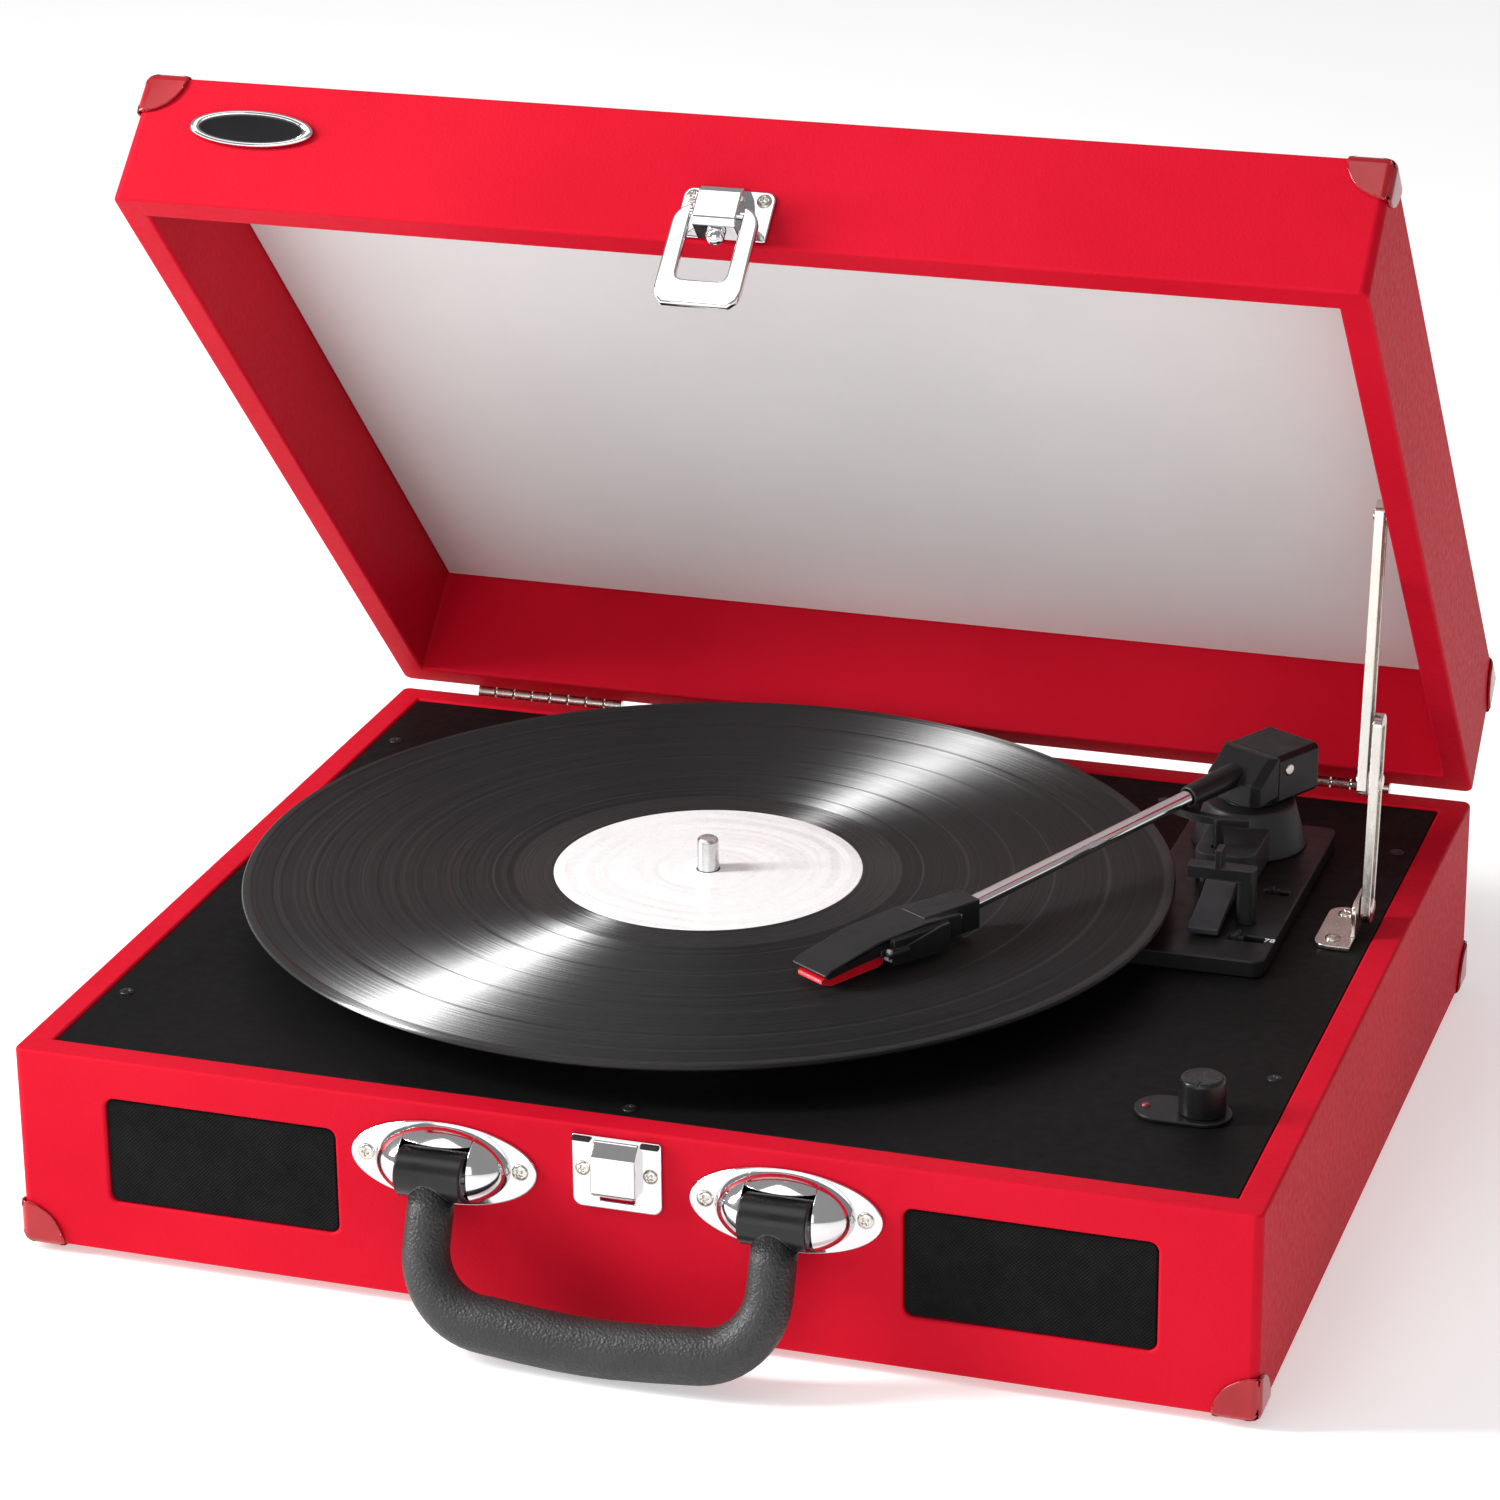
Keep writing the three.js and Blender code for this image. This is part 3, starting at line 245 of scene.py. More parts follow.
def leatherette_look():
    look = Look("leatherette_red", 0.5, specular=0.05)
    look.colour((0.51, 0.0035, 0.017), (0.60, 0.007, 0.024), 9.0, (0.66, 0.022, 0.036), radius=0.0011)
    look.rough(0.42, 0.6, 420.0)
    look.bump((look.cells(1150.0), 0.5, 0.10), (look.noise(1900.0, 2.0), 0.35, 0.05))
    return look.material


PLASTIC_WEAR = (0.09, 0.09, 0.095)


def plastic(name, low, high, rough, grain=0.25, specular=0.45):
    look = Look(name, rough[0], specular=specular)
    look.colour(low, high, 30.0, PLASTIC_WEAR, radius=0.0006)
    look.rough(*rough, 160.0)
    look.bump((look.noise(2600.0, 2.0), grain, 0.03))
    return look.material


def metal(name, low, high, rough, brushed=(1.0, 1.0, 1.0), scale=900.0, strength=0.04):
    look = Look(name, rough[0], metallic=1.0)
    look.colour(low, high, 40.0)
    streaks = look.stretched(brushed)
    look.rough(*rough, scale, where=streaks)
    look.bump((look.noise(scale, 3.0, where=streaks), strength, 0.02), (look.noise(45.0, 2.0), 0.05, 0.25))
    return look.material


BLACK = plastic("plastic_black", (0.006, 0.006, 0.0065), (0.010, 0.010, 0.011), (0.30, 0.46), specular=0.26)
SMOOTH_BLACK = plastic(
    "plastic_black_smooth", (0.006, 0.006, 0.007), (0.010, 0.010, 0.011), (0.22, 0.34), 0.1, specular=0.34,
)
GREY_PLASTIC = plastic(
    "plastic_grey", (0.020, 0.0205, 0.022), (0.028, 0.0285, 0.031), (0.34, 0.48), specular=0.3,
)
CHROME = metal("chrome", (0.66, 0.66, 0.67), (0.76, 0.76, 0.77), (0.05, 0.13), scale=260.0, strength=0.015)
NICKEL = metal(
    "nickel", (0.60, 0.57, 0.53), (0.70, 0.67, 0.62), (0.16, 0.3), brushed=(1.0, 0.25, 0.25), strength=0.012,
)
STEEL = metal("steel", (0.50, 0.48, 0.45), (0.70, 0.67, 0.62), (0.2, 0.36), brushed=(0.3, 1.0, 1.0))
TURNED = metal("turned_metal", (0.60, 0.60, 0.61), (0.78, 0.78, 0.79), (0.2, 0.4), brushed=(1.0, 1.0, 9.0))
BRASS = metal("brass", (0.60, 0.42, 0.16), (0.76, 0.57, 0.26), (0.18, 0.34), brushed=(1.0, 1.0, 9.0))


def corner_look():
    look = Look("corner_red", 0.16, specular=0.4, coat=0.12, coat_roughness=0.06)
    look.colour((0.30, 0.004, 0.009), (0.40, 0.007, 0.014), 70.0, (0.52, 0.03, 0.04), radius=0.0009)
    look.rough(0.12, 0.26, 220.0)
    look.bump((look.noise(120.0, 2.0), 0.12, 0.2))
    return look.material


def deck_look():
    look = Look("deck_black", 0.5, specular=0.08)
    look.colour((0.0042, 0.0038, 0.0040), (0.0068, 0.0062, 0.0065), 11.0, wear=grey(0.03))
    look.rough(0.46, 0.62, 300.0)
    look.bump((look.noise(3200.0, 2.0), 0.3, 0.03))
    return look.material


def grain_look():
    look = Look("handle_grain", 0.5, specular=0.5)
    look.colour((0.015, 0.0148, 0.0155), (0.024, 0.0237, 0.0247), 60.0)
    look.rough(0.42, 0.6, 500.0)
    look.bump((look.cells(1250.0), 1.0, 0.28), (look.noise(1900.0, 3.0), 0.5, 0.08))
    return look.material


THREAD_MM = 0.62


def cloth_look():
    """Plain weave: threads along X and Z, over and under in turn."""
    look = Look("speaker_cloth", 0.95, specular=0.12)
    split = look.new("ShaderNodeSeparateXYZ")
    look.link(look.where, split.inputs["Vector"])
    turns = math.pi / (THREAD_MM * MM)
    across = look.math("SINE", look.math("MULTIPLY", split.outputs["X"], turns))
    along = look.math("SINE", look.math("MULTIPLY", split.outputs["Z"], turns))
    woven = look.math("MULTIPLY", across, along)
    height = look.math("ADD", look.math("MULTIPLY", woven, 0.5), 0.5)
    # painted shade: the weave's low points, between the threads, get a darker colour
    tone = look.ramp(height, [(0.1, (0.0022, 0.0022, 0.0024)), (0.9, (0.012, 0.012, 0.0125))])
    patch = look.ramp(look.noise(70.0, 4.0), [(0.3, grey(0.55)), (0.7, grey(1.0))])
    # the noise patches that multiply the painted shade are the cloth's own uneven tone
    painted_shade_and_fade = look.mixed(1.0, tone, patch, "MULTIPLY")
    look.link(painted_shade_and_fade, look.shader.inputs["Base Color"])
    look.rough(0.85, 1.0, 300.0)
    look.bump((height, 0.9, 0.16), (look.noise(2400.0, 3.0), 0.3, 0.05))
    return look.material


def radius_socket(look):
    """Distance from the spindle's axis, in metres, from a piece's own coordinates."""
    flat = look.new("ShaderNodeMapping", Location=(-spindle_x, -spindle_y, 0.0), Scale=(1.0, 1.0, 0.0))
    look.link(look.where, flat.inputs["Vector"])
    length = look.new("ShaderNodeVectorMath")
    length.operation = "LENGTH"
    look.link(flat.outputs["Vector"], length.inputs[0])
    return length.outputs["Value"]


def ring_noise(look, radius, scale, detail):
    """Noise that changes only with the radius."""
    made = look.new("ShaderNodeTexNoise", Scale=scale, Detail=detail, Roughness=0.7)
    made.noise_dimensions = "1D"
    look.link(radius, made.inputs["W"])
    return made.outputs["Fac"]


DISC_MM = 151.0
TRACK_GAPS_MM = (69.5, 84.0, 98.5, 112.0, 129.5)
DEAD_WAX_MM = 62.6
LEAD_IN_MM = 147.2


def vinyl_look():
    # groove walls lean outwards and inwards, so highlights spread along the radius
    look = Look("vinyl", 0.55, specular=0.38)
    look.set(look.shader, Anisotropic=1.0, Anisotropic_Rotation=0.25, IOR=1.45)
    tangent = look.new("ShaderNodeTangent")
    tangent.direction_type = "RADIAL"
    tangent.axis = "Z"
    look.link(tangent.outputs["Tangent"], look.shader.inputs["Tangent"])
    radius = radius_socket(look)
    fine = ring_noise(look, radius, 9000.0, 2.0)
    broad = ring_noise(look, radius, 520.0, 3.0)
    tone = look.ramp(broad, [(0.3, (0.0012, 0.0012, 0.0013)), (0.7, (0.0030, 0.0030, 0.0031))])
    look.link(tone, look.shader.inputs["Base Color"])
    # grooves are rougher than the dead wax, the gaps between tracks and the lead-in
    share = look.math("DIVIDE", radius, DISC_MM * MM)
    dark, light = grey(0.34), grey(0.55)
    wax, lead_in = DEAD_WAX_MM / DISC_MM, LEAD_IN_MM / DISC_MM
    stops = [(0.0, dark), (wax, dark), (wax + 0.003, light)]
    for gap in TRACK_GAPS_MM:
        at = gap / DISC_MM
        stops += [(at - 0.004, light), (at - 0.002, dark), (at + 0.002, dark), (at + 0.004, light)]
    smooth = look.ramp(share, [*stops, (lead_in - 0.003, light), (lead_in, dark)])
    streaky = ring_noise(look, radius, 1500.0, 3.0)
    wobble = look.math("ADD", look.math("MULTIPLY", fine, 0.10), look.math("MULTIPLY", streaky, 0.42))
    varied = look.math("ADD", smooth, look.math("SUBTRACT", wobble, 0.26), clamp=True)
    look.link(varied, look.shader.inputs["Roughness"])
    # each ring turns its highlight a little, which frays the wedge's sides
    frayed = look.math("MULTIPLY", ring_noise(look, radius, 2600.0, 4.0), 0.07)
    look.link(look.math("ADD", frayed, 0.215), look.shader.inputs["Anisotropic Rotation"])
    look.bump((fine, 0.22, 0.02), (look.noise(26.0, 2.0), 0.10, 0.5), (look.noise(160.0, 3.0), 0.25, 0.05))
    return look.material


def label_look():
    look = Look("record_label", 0.22, specular=0.6, coat=0.5, coat_roughness=0.12)
    look.colour((0.88, 0.885, 0.885), (0.93, 0.935, 0.935), 34.0)
    look.rough(0.2, 0.32, 160.0)
    radius = radius_socket(look)
    wavy = look.math("ADD", radius, look.math("MULTIPLY", look.noise(22.0, 2.0), 0.012))
    rings = ring_noise(look, wavy, 150.0, 1.0)
    look.bump((rings, 0.8, 0.6), (look.noise(38.0, 3.0), 0.3, 0.5))
    return look.material


def lining_look():
    look = Look("lining", 0.62, specular=0.3)
    look.colour((0.72, 0.705, 0.705), (0.79, 0.775, 0.775), 6.0)
    look.rough(0.5, 0.7, 300.0)
    look.bump((look.noise(900.0, 4.0), 0.25, 0.05))
    return look.material


def plain_look(name, low, high, rough, bump_scale, bump_mm, specular=0.3):
    look = Look(name, rough[0], specular=specular)
    wear = tuple(tone + (1.0 - tone) * 0.12 for tone in high)
    look.colour(low, high, 25.0, wear, radius=0.0008)
    look.rough(*rough, 200.0)
    look.bump((look.noise(bump_scale, 4.0), 0.4, bump_mm))
    return look.material


RED = leatherette_look()
CORNER_RED = corner_look()
DECK = deck_look()
GRAIN = grain_look()
CLOTH = cloth_look()
VINYL = vinyl_look()
LABEL = label_look()
LINING = lining_look()
RUBBER = plain_look("rubber", grey(0.010), grey(0.020), (0.6, 0.8), 1200.0, 0.06)
BOARD = plain_look("hardboard", (0.10, 0.052, 0.024), (0.20, 0.115, 0.055), (0.6, 0.8), 420.0, 0.15)
CIRCUIT = plain_look(
    "circuit_green", (0.006, 0.055, 0.020), (0.010, 0.085, 0.030), (0.3, 0.45), 600.0, 0.04, 0.5,
)
STYLUS = plain_look("stylus_red", (0.62, 0.004, 0.014), (0.76, 0.010, 0.028), (0.18, 0.28), 400.0, 0.03, 0.5)
BADGE = plain_look("badge_black", (0.006, 0.006, 0.007), (0.013, 0.013, 0.014), (0.2, 0.3), 500.0, 0.02, 0.08)
PRINT = plain_look("print_white", (0.55, 0.55, 0.54), (0.75, 0.75, 0.74), (0.5, 0.6), 900.0, 0.02)
LAMP = plain_look("lamp_red", (0.16, 0.004, 0.006), (0.30, 0.010, 0.012), (0.1, 0.2), 300.0, 0.02, 0.6)
GREY_TIP = plain_look("grey_tip", (0.16, 0.16, 0.165), (0.22, 0.22, 0.225), (0.35, 0.5), 900.0, 0.02)
RCA_RED = plain_look("socket_red", (0.42, 0.006, 0.010), (0.55, 0.012, 0.016), (0.3, 0.42), 700.0, 0.03)
RCA_WHITE = plain_look("socket_white", (0.60, 0.60, 0.58), (0.74, 0.74, 0.72), (0.3, 0.42), 700.0, 0.03)


# ---------- outlines ----------
def arc(cx, cy, r, start, end, steps, ry=None):
    ry = r if ry is None else ry
    made = []
    for i in range(steps + 1):
        a = math.radians(start + (end - start) * i / steps)
        made.append((cx + r * math.cos(a), cy + ry * math.sin(a)))
    return made


def rounded(x0, x1, y0, y1, radii, steps=6):
    """Corner radii in the order left-low, right-low, right-high, left-high."""
    a, b, c, d = radii if isinstance(radii, list) else [radii] * 4
    made = []
    for cx, cy, r, start in (
        (x1 - b, y0 + b, b, -90), (x1 - c, y1 - c, c, 0), (x0 + d, y1 - d, d, 90), (x0 + a, y0 + a, a, 180),
    ):
        made += arc(cx, cy, r, start, start + 90, steps) if r > 0 else [(cx, cy)]
    return made


def ellipse(cx, cy, rx, ry, steps=64):
    return arc(cx, cy, rx, 0, 360, steps, ry)[:-1]


# ---------- building pieces ----------
SAME = Matrix.Identity(4)
AXES = {"x": (1, 2, 0), "y": (0, 2, 1), "z": (0, 1, 2)}


class Shape:
    """A mesh being built in millimetres."""

    def __init__(self):
        self.bm = bmesh.new()

    def point(self, axis, u, v, w):
        co = [0.0, 0.0, 0.0]
        for place, value in zip(AXES[axis], (u, v, w)):
            co[place] = value
        return self.bm.verts.new(co)

    def face(self, verts, mat):
        made = self.bm.faces.new(verts)
        made.material_index = mat
        made.smooth = True

    def prism(self, axis, outline, a, b, mat=0, shrink=1.0):
        """An outline of the other two axes, from a to b; shrink scales its far end about its middle."""
        mu = sum(p[0] for p in outline) / len(outline)
        mv = sum(p[1] for p in outline) / len(outline)
        near = [self.point(axis, u, v, a) for u, v in outline]
        far = [self.point(axis, mu + (u - mu) * shrink, mv + (v - mv) * shrink, b) for u, v in outline]
        self.face(near, mat)
        self.face(far, mat)
        for i in range(len(outline)):
            k = (i + 1) % len(outline)
            self.face([near[i], near[k], far[k], far[i]], mat)
        return self

    def box(self, x0, x1, y0, y1, z0, z1, mat=0):
        return self.prism("z", [(x0, y0), (x1, y0), (x1, y1), (x0, y1)], z0, z1, mat)

    def lathe(self, axis, centre, profile, mat=0, steps=64):
        """A profile of (radius, height) turned about an axis through centre."""
        cu, cv = centre
        rings = []
        for r, h in profile:
            outline = ellipse(cu, cv, r, r, steps) if r else [centre]
            rings.append([self.point(axis, u, v, h) for u, v in outline])
        for one, two in zip(rings, rings[1:]):
            if len(one) == 1 and len(two) == 1:
                continue
            for i in range(steps):
                k = (i + 1) % steps
                corners = [one[i % len(one)], one[k % len(one)], two[k % len(two)], two[i % len(two)]]
                self.face(list(dict.fromkeys(corners)), mat)
        return self

    def tube(self, rows, ring=False):
        """A skin through rows of points, capped at both ends or, as a ring, joined end to end."""
        rings = [[self.bm.verts.new(p) for p in row] for row in rows]
        count = len(rings[0])
        ahead = rings[1:] + (rings[:1] if ring else [])
        for one, two in zip(rings, ahead):
            for i in range(count):
                k = (i + 1) % count
                self.face([one[i], one[k], two[k], two[i]], 0)
        if not ring:
            self.face(rings[0], 0)
            self.face(rings[-1], 0)
        return self

    def add(self, other, place=SAME):
        """Adds a mesh or another shape, moved by a matrix."""
        copy = as_mesh(other).copy()
        copy.transform(place)
        self.bm.from_mesh(copy)
        bpy.data.meshes.remove(copy)
        return self

    def mesh(self, name):
        bmesh.ops.recalc_face_normals(self.bm, faces=self.bm.faces)
        made = bpy.data.meshes.new(name)
        self.bm.to_mesh(made)
        self.bm.free()
        return made


def as_mesh(thing, name="part"):
    return thing.mesh(name) if isinstance(thing, Shape) else thing


def evaluated(obj):
    bpy.context.view_layer.update()
    graph = bpy.context.evaluated_depsgraph_get()
    return bpy.data.meshes.new_from_object(obj.evaluated_get(graph))


def new_object(name, mesh):
    made = bpy.data.objects.new(name, mesh)
    bpy.context.scene.collection.objects.link(made)
    return made


def carved(block, cutters, operation="DIFFERENCE"):
    """The mesh of a block after a boolean with each cutter."""
    work = new_object("work", as_mesh(block))
    tools = [new_object("tool", as_mesh(cutter)) for cutter in cutters]
    for tool in tools:
        cut = work.modifiers.new("cut", "BOOLEAN")
        cut.operation = operation
        cut.solver = "EXACT"
        cut.object = tool
    made = evaluated(work)
    for o in [work, *tools]:
        bpy.data.objects.remove(o)
    for polygon in made.polygons:
        polygon.use_smooth = True
    return made


BEVEL_FROM = 32.0
NORMAL_WEIGHT = 80


def rounded_off(obj, width, segments, angle):
    if width:
        bevel = obj.modifiers.new("bevel", "BEVEL")
        bevel.width = width * MM
        bevel.segments = segments
        bevel.limit_method = "ANGLE"
        bevel.angle_limit = math.radians(angle)
        bevel.use_clamp_overlap = False
        bevel.loop_slide = False
    normals = obj.modifiers.new("normals", "WEIGHTED_NORMAL")
    normals.weight = NORMAL_WEIGHT


def piece(name, body, shape, place, looks, bevel=0.0, segments=2, replaces=(), angle=BEVEL_FROM):
    """Places a shape from a body's millimetre frame and lets it ride on that body."""
    mesh = as_mesh(shape, name)
    mesh.transform(place)
    made = new_object(name, mesh)
    for look in looks if isinstance(looks, list) else [looks]:
        mesh.materials.append(look)
    rounded_off(made, bevel, segments, angle)
    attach(made, body)
    if replaces:
        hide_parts(*replaces)


WELD_M = 2e-6
FLAT_WITHIN = math.radians(1.2)


def soften(node, look, width, segments=2):
    """A copy of a CAD node with rounded edges, which stands for it."""
    source = NODES[node]
    bm = bmesh.new()
    bm.from_mesh(source.data)
    bmesh.ops.remove_doubles(bm, verts=bm.verts, dist=WELD_M)
    bmesh.ops.dissolve_limit(bm, angle_limit=FLAT_WITHIN, verts=bm.verts, edges=bm.edges)
    for f in bm.faces:
        f.smooth = True
        f.material_index = 0
    mesh = bpy.data.meshes.new(f"{node}_look")
    bm.to_mesh(mesh)
    bm.free()
    piece(mesh.name, source["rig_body"], mesh, SAME, look, width, segments, [node])


def repaint(node, look):
    """Keeps a CAD node's shape and gives it a better material."""
    for used in NODES[node].material_slots:
        used.material = look


def screw_head():
    """A pan-head screw with a cross recess: radius 1, seated at height 0."""
    dome = arc(0, 0.12, 1.0, 0, 90, 6, 0.42)
    profile = [(0, -0.1), (1.0, -0.1), *dome[:-1], (0, 0.54)]
    head = Shape().lathe("z", (0, 0), profile, steps=32)
    slots = []
    for x, y in ((0.62, 0.15), (0.15, 0.62)):
        slots.append(Shape().prism("z", [(-x, -y), (x, -y), (x, y), (-x, y)], 0.75, 0.18, shrink=0.7))
    return carved(head, slots)


SCREW = screw_head()
FACE = {"-y": turned("X", 90), "+y": turned("X", -90), "+z": SAME, "-z": turned("X", 180)}


def screws(name, body, place, looks, spots, radius, facing, height=1.0):
    """Screw heads at spots (x, y, z, turn in degrees), facing one way."""
    shape = Shape()
    for x, y, z, turn in spots:
        sized = Matrix.Diagonal((radius, radius, radius * height, 1.0))
        shape.add(SCREW, moved(x, y, z) @ FACE[facing] @ turned("Z", turn) @ sized)
    piece(name, body, shape, place, looks, bevel=0.08, segments=1)


# ---------- case and lid ----------
def shells():
    soften("base_case", RED, 1.1, 3)
    soften("lid_case", RED, 1.1, 3)
    soften("deck_plate", DECK, 0.5)
    soften("lid_lining", LINING, 0.4)
    soften("bottom_panel", BOARD, 0.5)


CAP_OUT = 1.15
CAP_SIZE = 13.6
CAP_CLEAR = 0.2
LID_TOP = 45.3


def corner_cap():
    """A pressed cap on a corner at the origin that points along +X, +Y and +Z."""
    block = Shape().box(-16, CAP_OUT, -16, CAP_OUT, -16, CAP_OUT)
    bmesh.ops.bevel(block.bm, geom=block.bm.edges, offset=3.2, segments=6, profile=0.5, affect="EDGES")
    curve = arc(0, 0, CAP_SIZE, 90, -90, 32)[1:-1]
    ball = Shape().lathe("z", (0, 0), [(0, CAP_SIZE), *curve, (0, -CAP_SIZE)])
    cap = carved(block, [ball], "INTERSECT")
    return carved(cap, [Shape().box(-30, CAP_CLEAR, -30, CAP_CLEAR, -30, CAP_CLEAR)])


def corners():
    cap = corner_cap()
    for part, body, place, front, rear, z, up in (
        ("base", "case", CASE, FRONT, REAR, 0.0, -1),
        ("lid", "lid", LID, LID_FRONT, LID_FRONT + REAR - FRONT, LID_TOP, 1),
    ):
        for side, sx in (("left", -1), ("right", 1)):
            for end, sy, y in (("front", -1, front), ("rear", 1, rear)):
                node = f"{part}_corner_{end}_{side}"
                spot = moved(sx * HALF_W, y, z) @ Matrix.Diagonal((sx, sy, up, 1.0))
                piece(
                    f"{node}_cap", body, Shape().add(cap, spot), place, CORNER_RED, 0.4, 3,
                    replaces=[node], angle=38,
                )


def grilles():
    for side in ("left", "right"):
        x0, x1, y0, y1, z0, z1 = box_mm(f"grille_{side}")
        cloth = Shape().prism("y", rounded(x0, x1, z0, z1, 2.7, 8), y0, y1)
        piece(
            f"grille_cloth_{side}", "case", cloth, CASE, CLOTH, 0.6, 4,
            replaces=[f"grille_{side}"],
        )


def feet():
    spots = []
    for end in ("front", "rear"):
        for side in ("left", "right"):
            node = f"foot_{end}_{side}"
            x, y = middle_of(node).xy
            low, high = heights(node)
            profile = [
                (0, low + 0.8), (2.6, low + 0.8), (3.0, low), (5.4, low), (5.9, low + 0.4),
                (6.9, high - 0.2), (6.7, high), (0, high),
            ]
            foot = Shape().lathe("z", (x, y), profile, steps=48)
            piece(f"{node}_rubber", "case", foot, CASE, RUBBER, replaces=[node])
            spots.append((x, y, low + 0.85, 37.0 * len(spots)))
    screws("foot_screws", "case", CASE, STEEL, spots, 2.1, "-z", 0.5)


def deck_screws():
    top = heights("deck_plate")[1]
    spots = [(-179.3, -112.9), (0.0, -146.9), (178.2, -71.1), (179.1, 112.2), (-178.5, 112.5)]
    placed = [(x, y, top, 31.0 * i) for i, (x, y) in enumerate(spots)]
    screws("deck_screws", "case", CASE, SMOOTH_BLACK, placed, 2.3, "+z", 0.6)


# ---------- hinges ----------
HINGE_X = 111.5
KNUCKLE_R = 2.5
KNUCKLE_L = 6.9
KNUCKLES = 8
LEAF_T = 1.2
LEAF_H = 20
LEAF_SCREW = 14.5
HINGE_L = KNUCKLES * KNUCKLE_L
HINGE_Y, HINGE_Z = tuple((Vector(JOINTS["lid_hinge"]["pos_m"]) - CASE_ORIGIN).yz / MM)


def hinge_leaf(start, odd, y0, z0, z1, axis):
    """Knuckles alternate between two leaves; the one with the even knuckles also holds the pin."""
    leaf = Shape().box(start, start + HINGE_L, y0, y0 + LEAF_T, z0, z1)
    shape = Shape()
    gaps = []
    for i in range(KNUCKLES):
        a = start + i * KNUCKLE_L
        b = a + KNUCKLE_L
        if i % 2 == odd:
            profile = [
                (0, a + 0.2), (KNUCKLE_R - 0.3, a + 0.2), (KNUCKLE_R, a + 0.5),
                (KNUCKLE_R, b - 0.5), (KNUCKLE_R - 0.3, b - 0.2), (0, b - 0.2),
            ]
            shape.lathe("x", axis, profile, steps=28)
        else:
            r = KNUCKLE_R + 0.5
            gap = [(0, a - 0.15), (r, a - 0.15), (r, b + 0.15), (0, b + 0.15)]
            gaps.append(Shape().lathe("x", axis, gap, steps=24))
    if not odd:
        pin = [(0, start + 1), (0.95, start + 1), (0.95, start + HINGE_L - 0.3), (0, start + HINGE_L - 0.3)]
        shape.lathe("x", axis, pin, steps=16)
    return shape.add(carved(leaf, gaps))


def hinges():
    """From the pin, each pair has a leaf down the case's rear wall and one up the lid's."""
    for side, start in (("left", -HINGE_X - HINGE_L), ("right", HINGE_X)):
        for part, body, place, axis, up, gap, turn in (
            ("base", "case", CASE, (HINGE_Y, HINGE_Z), -1, 0.2, 2.3),
            ("lid", "lid", LID, (0, 0), 1, 0.3, 1.7),
        ):
            y0 = REAR - HINGE_Y + axis[0] + gap
            low, high = sorted((axis[1] + up, axis[1] + LEAF_H * up))
            leaf = hinge_leaf(start, up > 0, y0, low, high, axis)
            node = f"hinge_leaf_{part}_{side}"
            piece(f"{node}_plate", body, leaf, place, NICKEL, 0.12, 1, replaces=[node])
            spread = [start + HINGE_L * f for f in (0.14, 0.5, 0.86)]
            spots = [(x, y0 + LEAF_T, axis[1] + LEAF_SCREW * up, turn * x) for x in spread]
            screws(f"hinge_screws_{part}_{side}", body, place, NICKEL, spots, 2.2, "+y", 0.55)


# ---------- handle ----------
HANDLE_X = 53.6
HANDLE_Y, HANDLE_Z = tuple((Vector(JOINTS["handle_swing"]["pos_m"]) - CASE_ORIGIN).yz / MM)
DOME_LONG, DOME_OUT, DOME_HIGH = 21.5, 13.0, 12.5
SLEEVE_HALF = 10.9
BAND_LOW = 9.2
DOME_SEAT = FRONT - 0.6


def dome_row(x, girth, last, steps):
    """Points around a bracket's dome at x, from its top down to an angle."""
    reach = arc(HANDLE_Z, 0, DOME_HIGH * girth, 0, last, steps, DOME_OUT * girth)
    return [(x, DOME_SEAT - out, z) for z, out in reach]


def half_egg(shape, x, side):
    """One end of a bracket's dome: half an ellipsoid from the sleeve's end outwards."""
    start = math.acos(SLEEVE_HALF / DOME_LONG)
    rows = []
    for i in range(15):
        phi = start * (1 - i / 14) + 0.02 * i / 14
        rows.append(dome_row(x + side * DOME_LONG * math.cos(phi), math.sin(phi), 180, 32))
    shape.tube(rows)


def dome_band(shape, x):
    """The part of the dome that bridges the two ends above the sleeve."""
    rows = []
    for i in range(17):
        along = SLEEVE_HALF * (1 - i / 8)
        sine = math.sqrt(1 - (along / DOME_LONG) ** 2)
        last = math.degrees(math.acos(BAND_LOW / (DOME_HIGH * sine)))
        rows.append([*dome_row(x + along, sine, last, 8), (x + along, DOME_SEAT, HANDLE_Z + BAND_LOW)])
    shape.tube(rows)


def brackets():
    spots = []
    for side, sign in (("left", -1), ("right", 1)):
        x = sign * HANDLE_X
        oval = ellipse(x, HANDLE_Z, 30, 13.5, 72)
        rim = Shape().prism("y", oval, FRONT - 0.1, FRONT - 1.2, shrink=0.985)
        window = rounded(x - SLEEVE_HALF, x + SLEEVE_HALF, HANDLE_Z - 4.5, HANDLE_Z + 4.5, 1.5)
        shape = Shape().add(carved(rim, [Shape().prism("y", window, FRONT - 3, FRONT + 1)]))
        half_egg(shape, x, -1)
        half_egg(shape, x, 1)
        dome_band(shape, x)
        pin = [(0, x - 12.5), (2, x - 12.5), (2, x + 12.5), (0, x + 12.5)]
        shape.lathe("x", (HANDLE_Y, HANDLE_Z), pin, steps=24)
        node = f"handle_bracket_{side}"
        piece(f"{node}_plate", "case", shape, CASE, CHROME, 0.35, 3, replaces=[node], angle=40)
        for apart, spin in ((-24.6, 12.0 * sign), (24.6, 38.0)):
            spots.append((x + apart, FRONT - 1.2, HANDLE_Z + 0.5, spin))
    screws("bracket_screws", "case", CASE, NICKEL, spots, 2.6, "-y", 0.75)


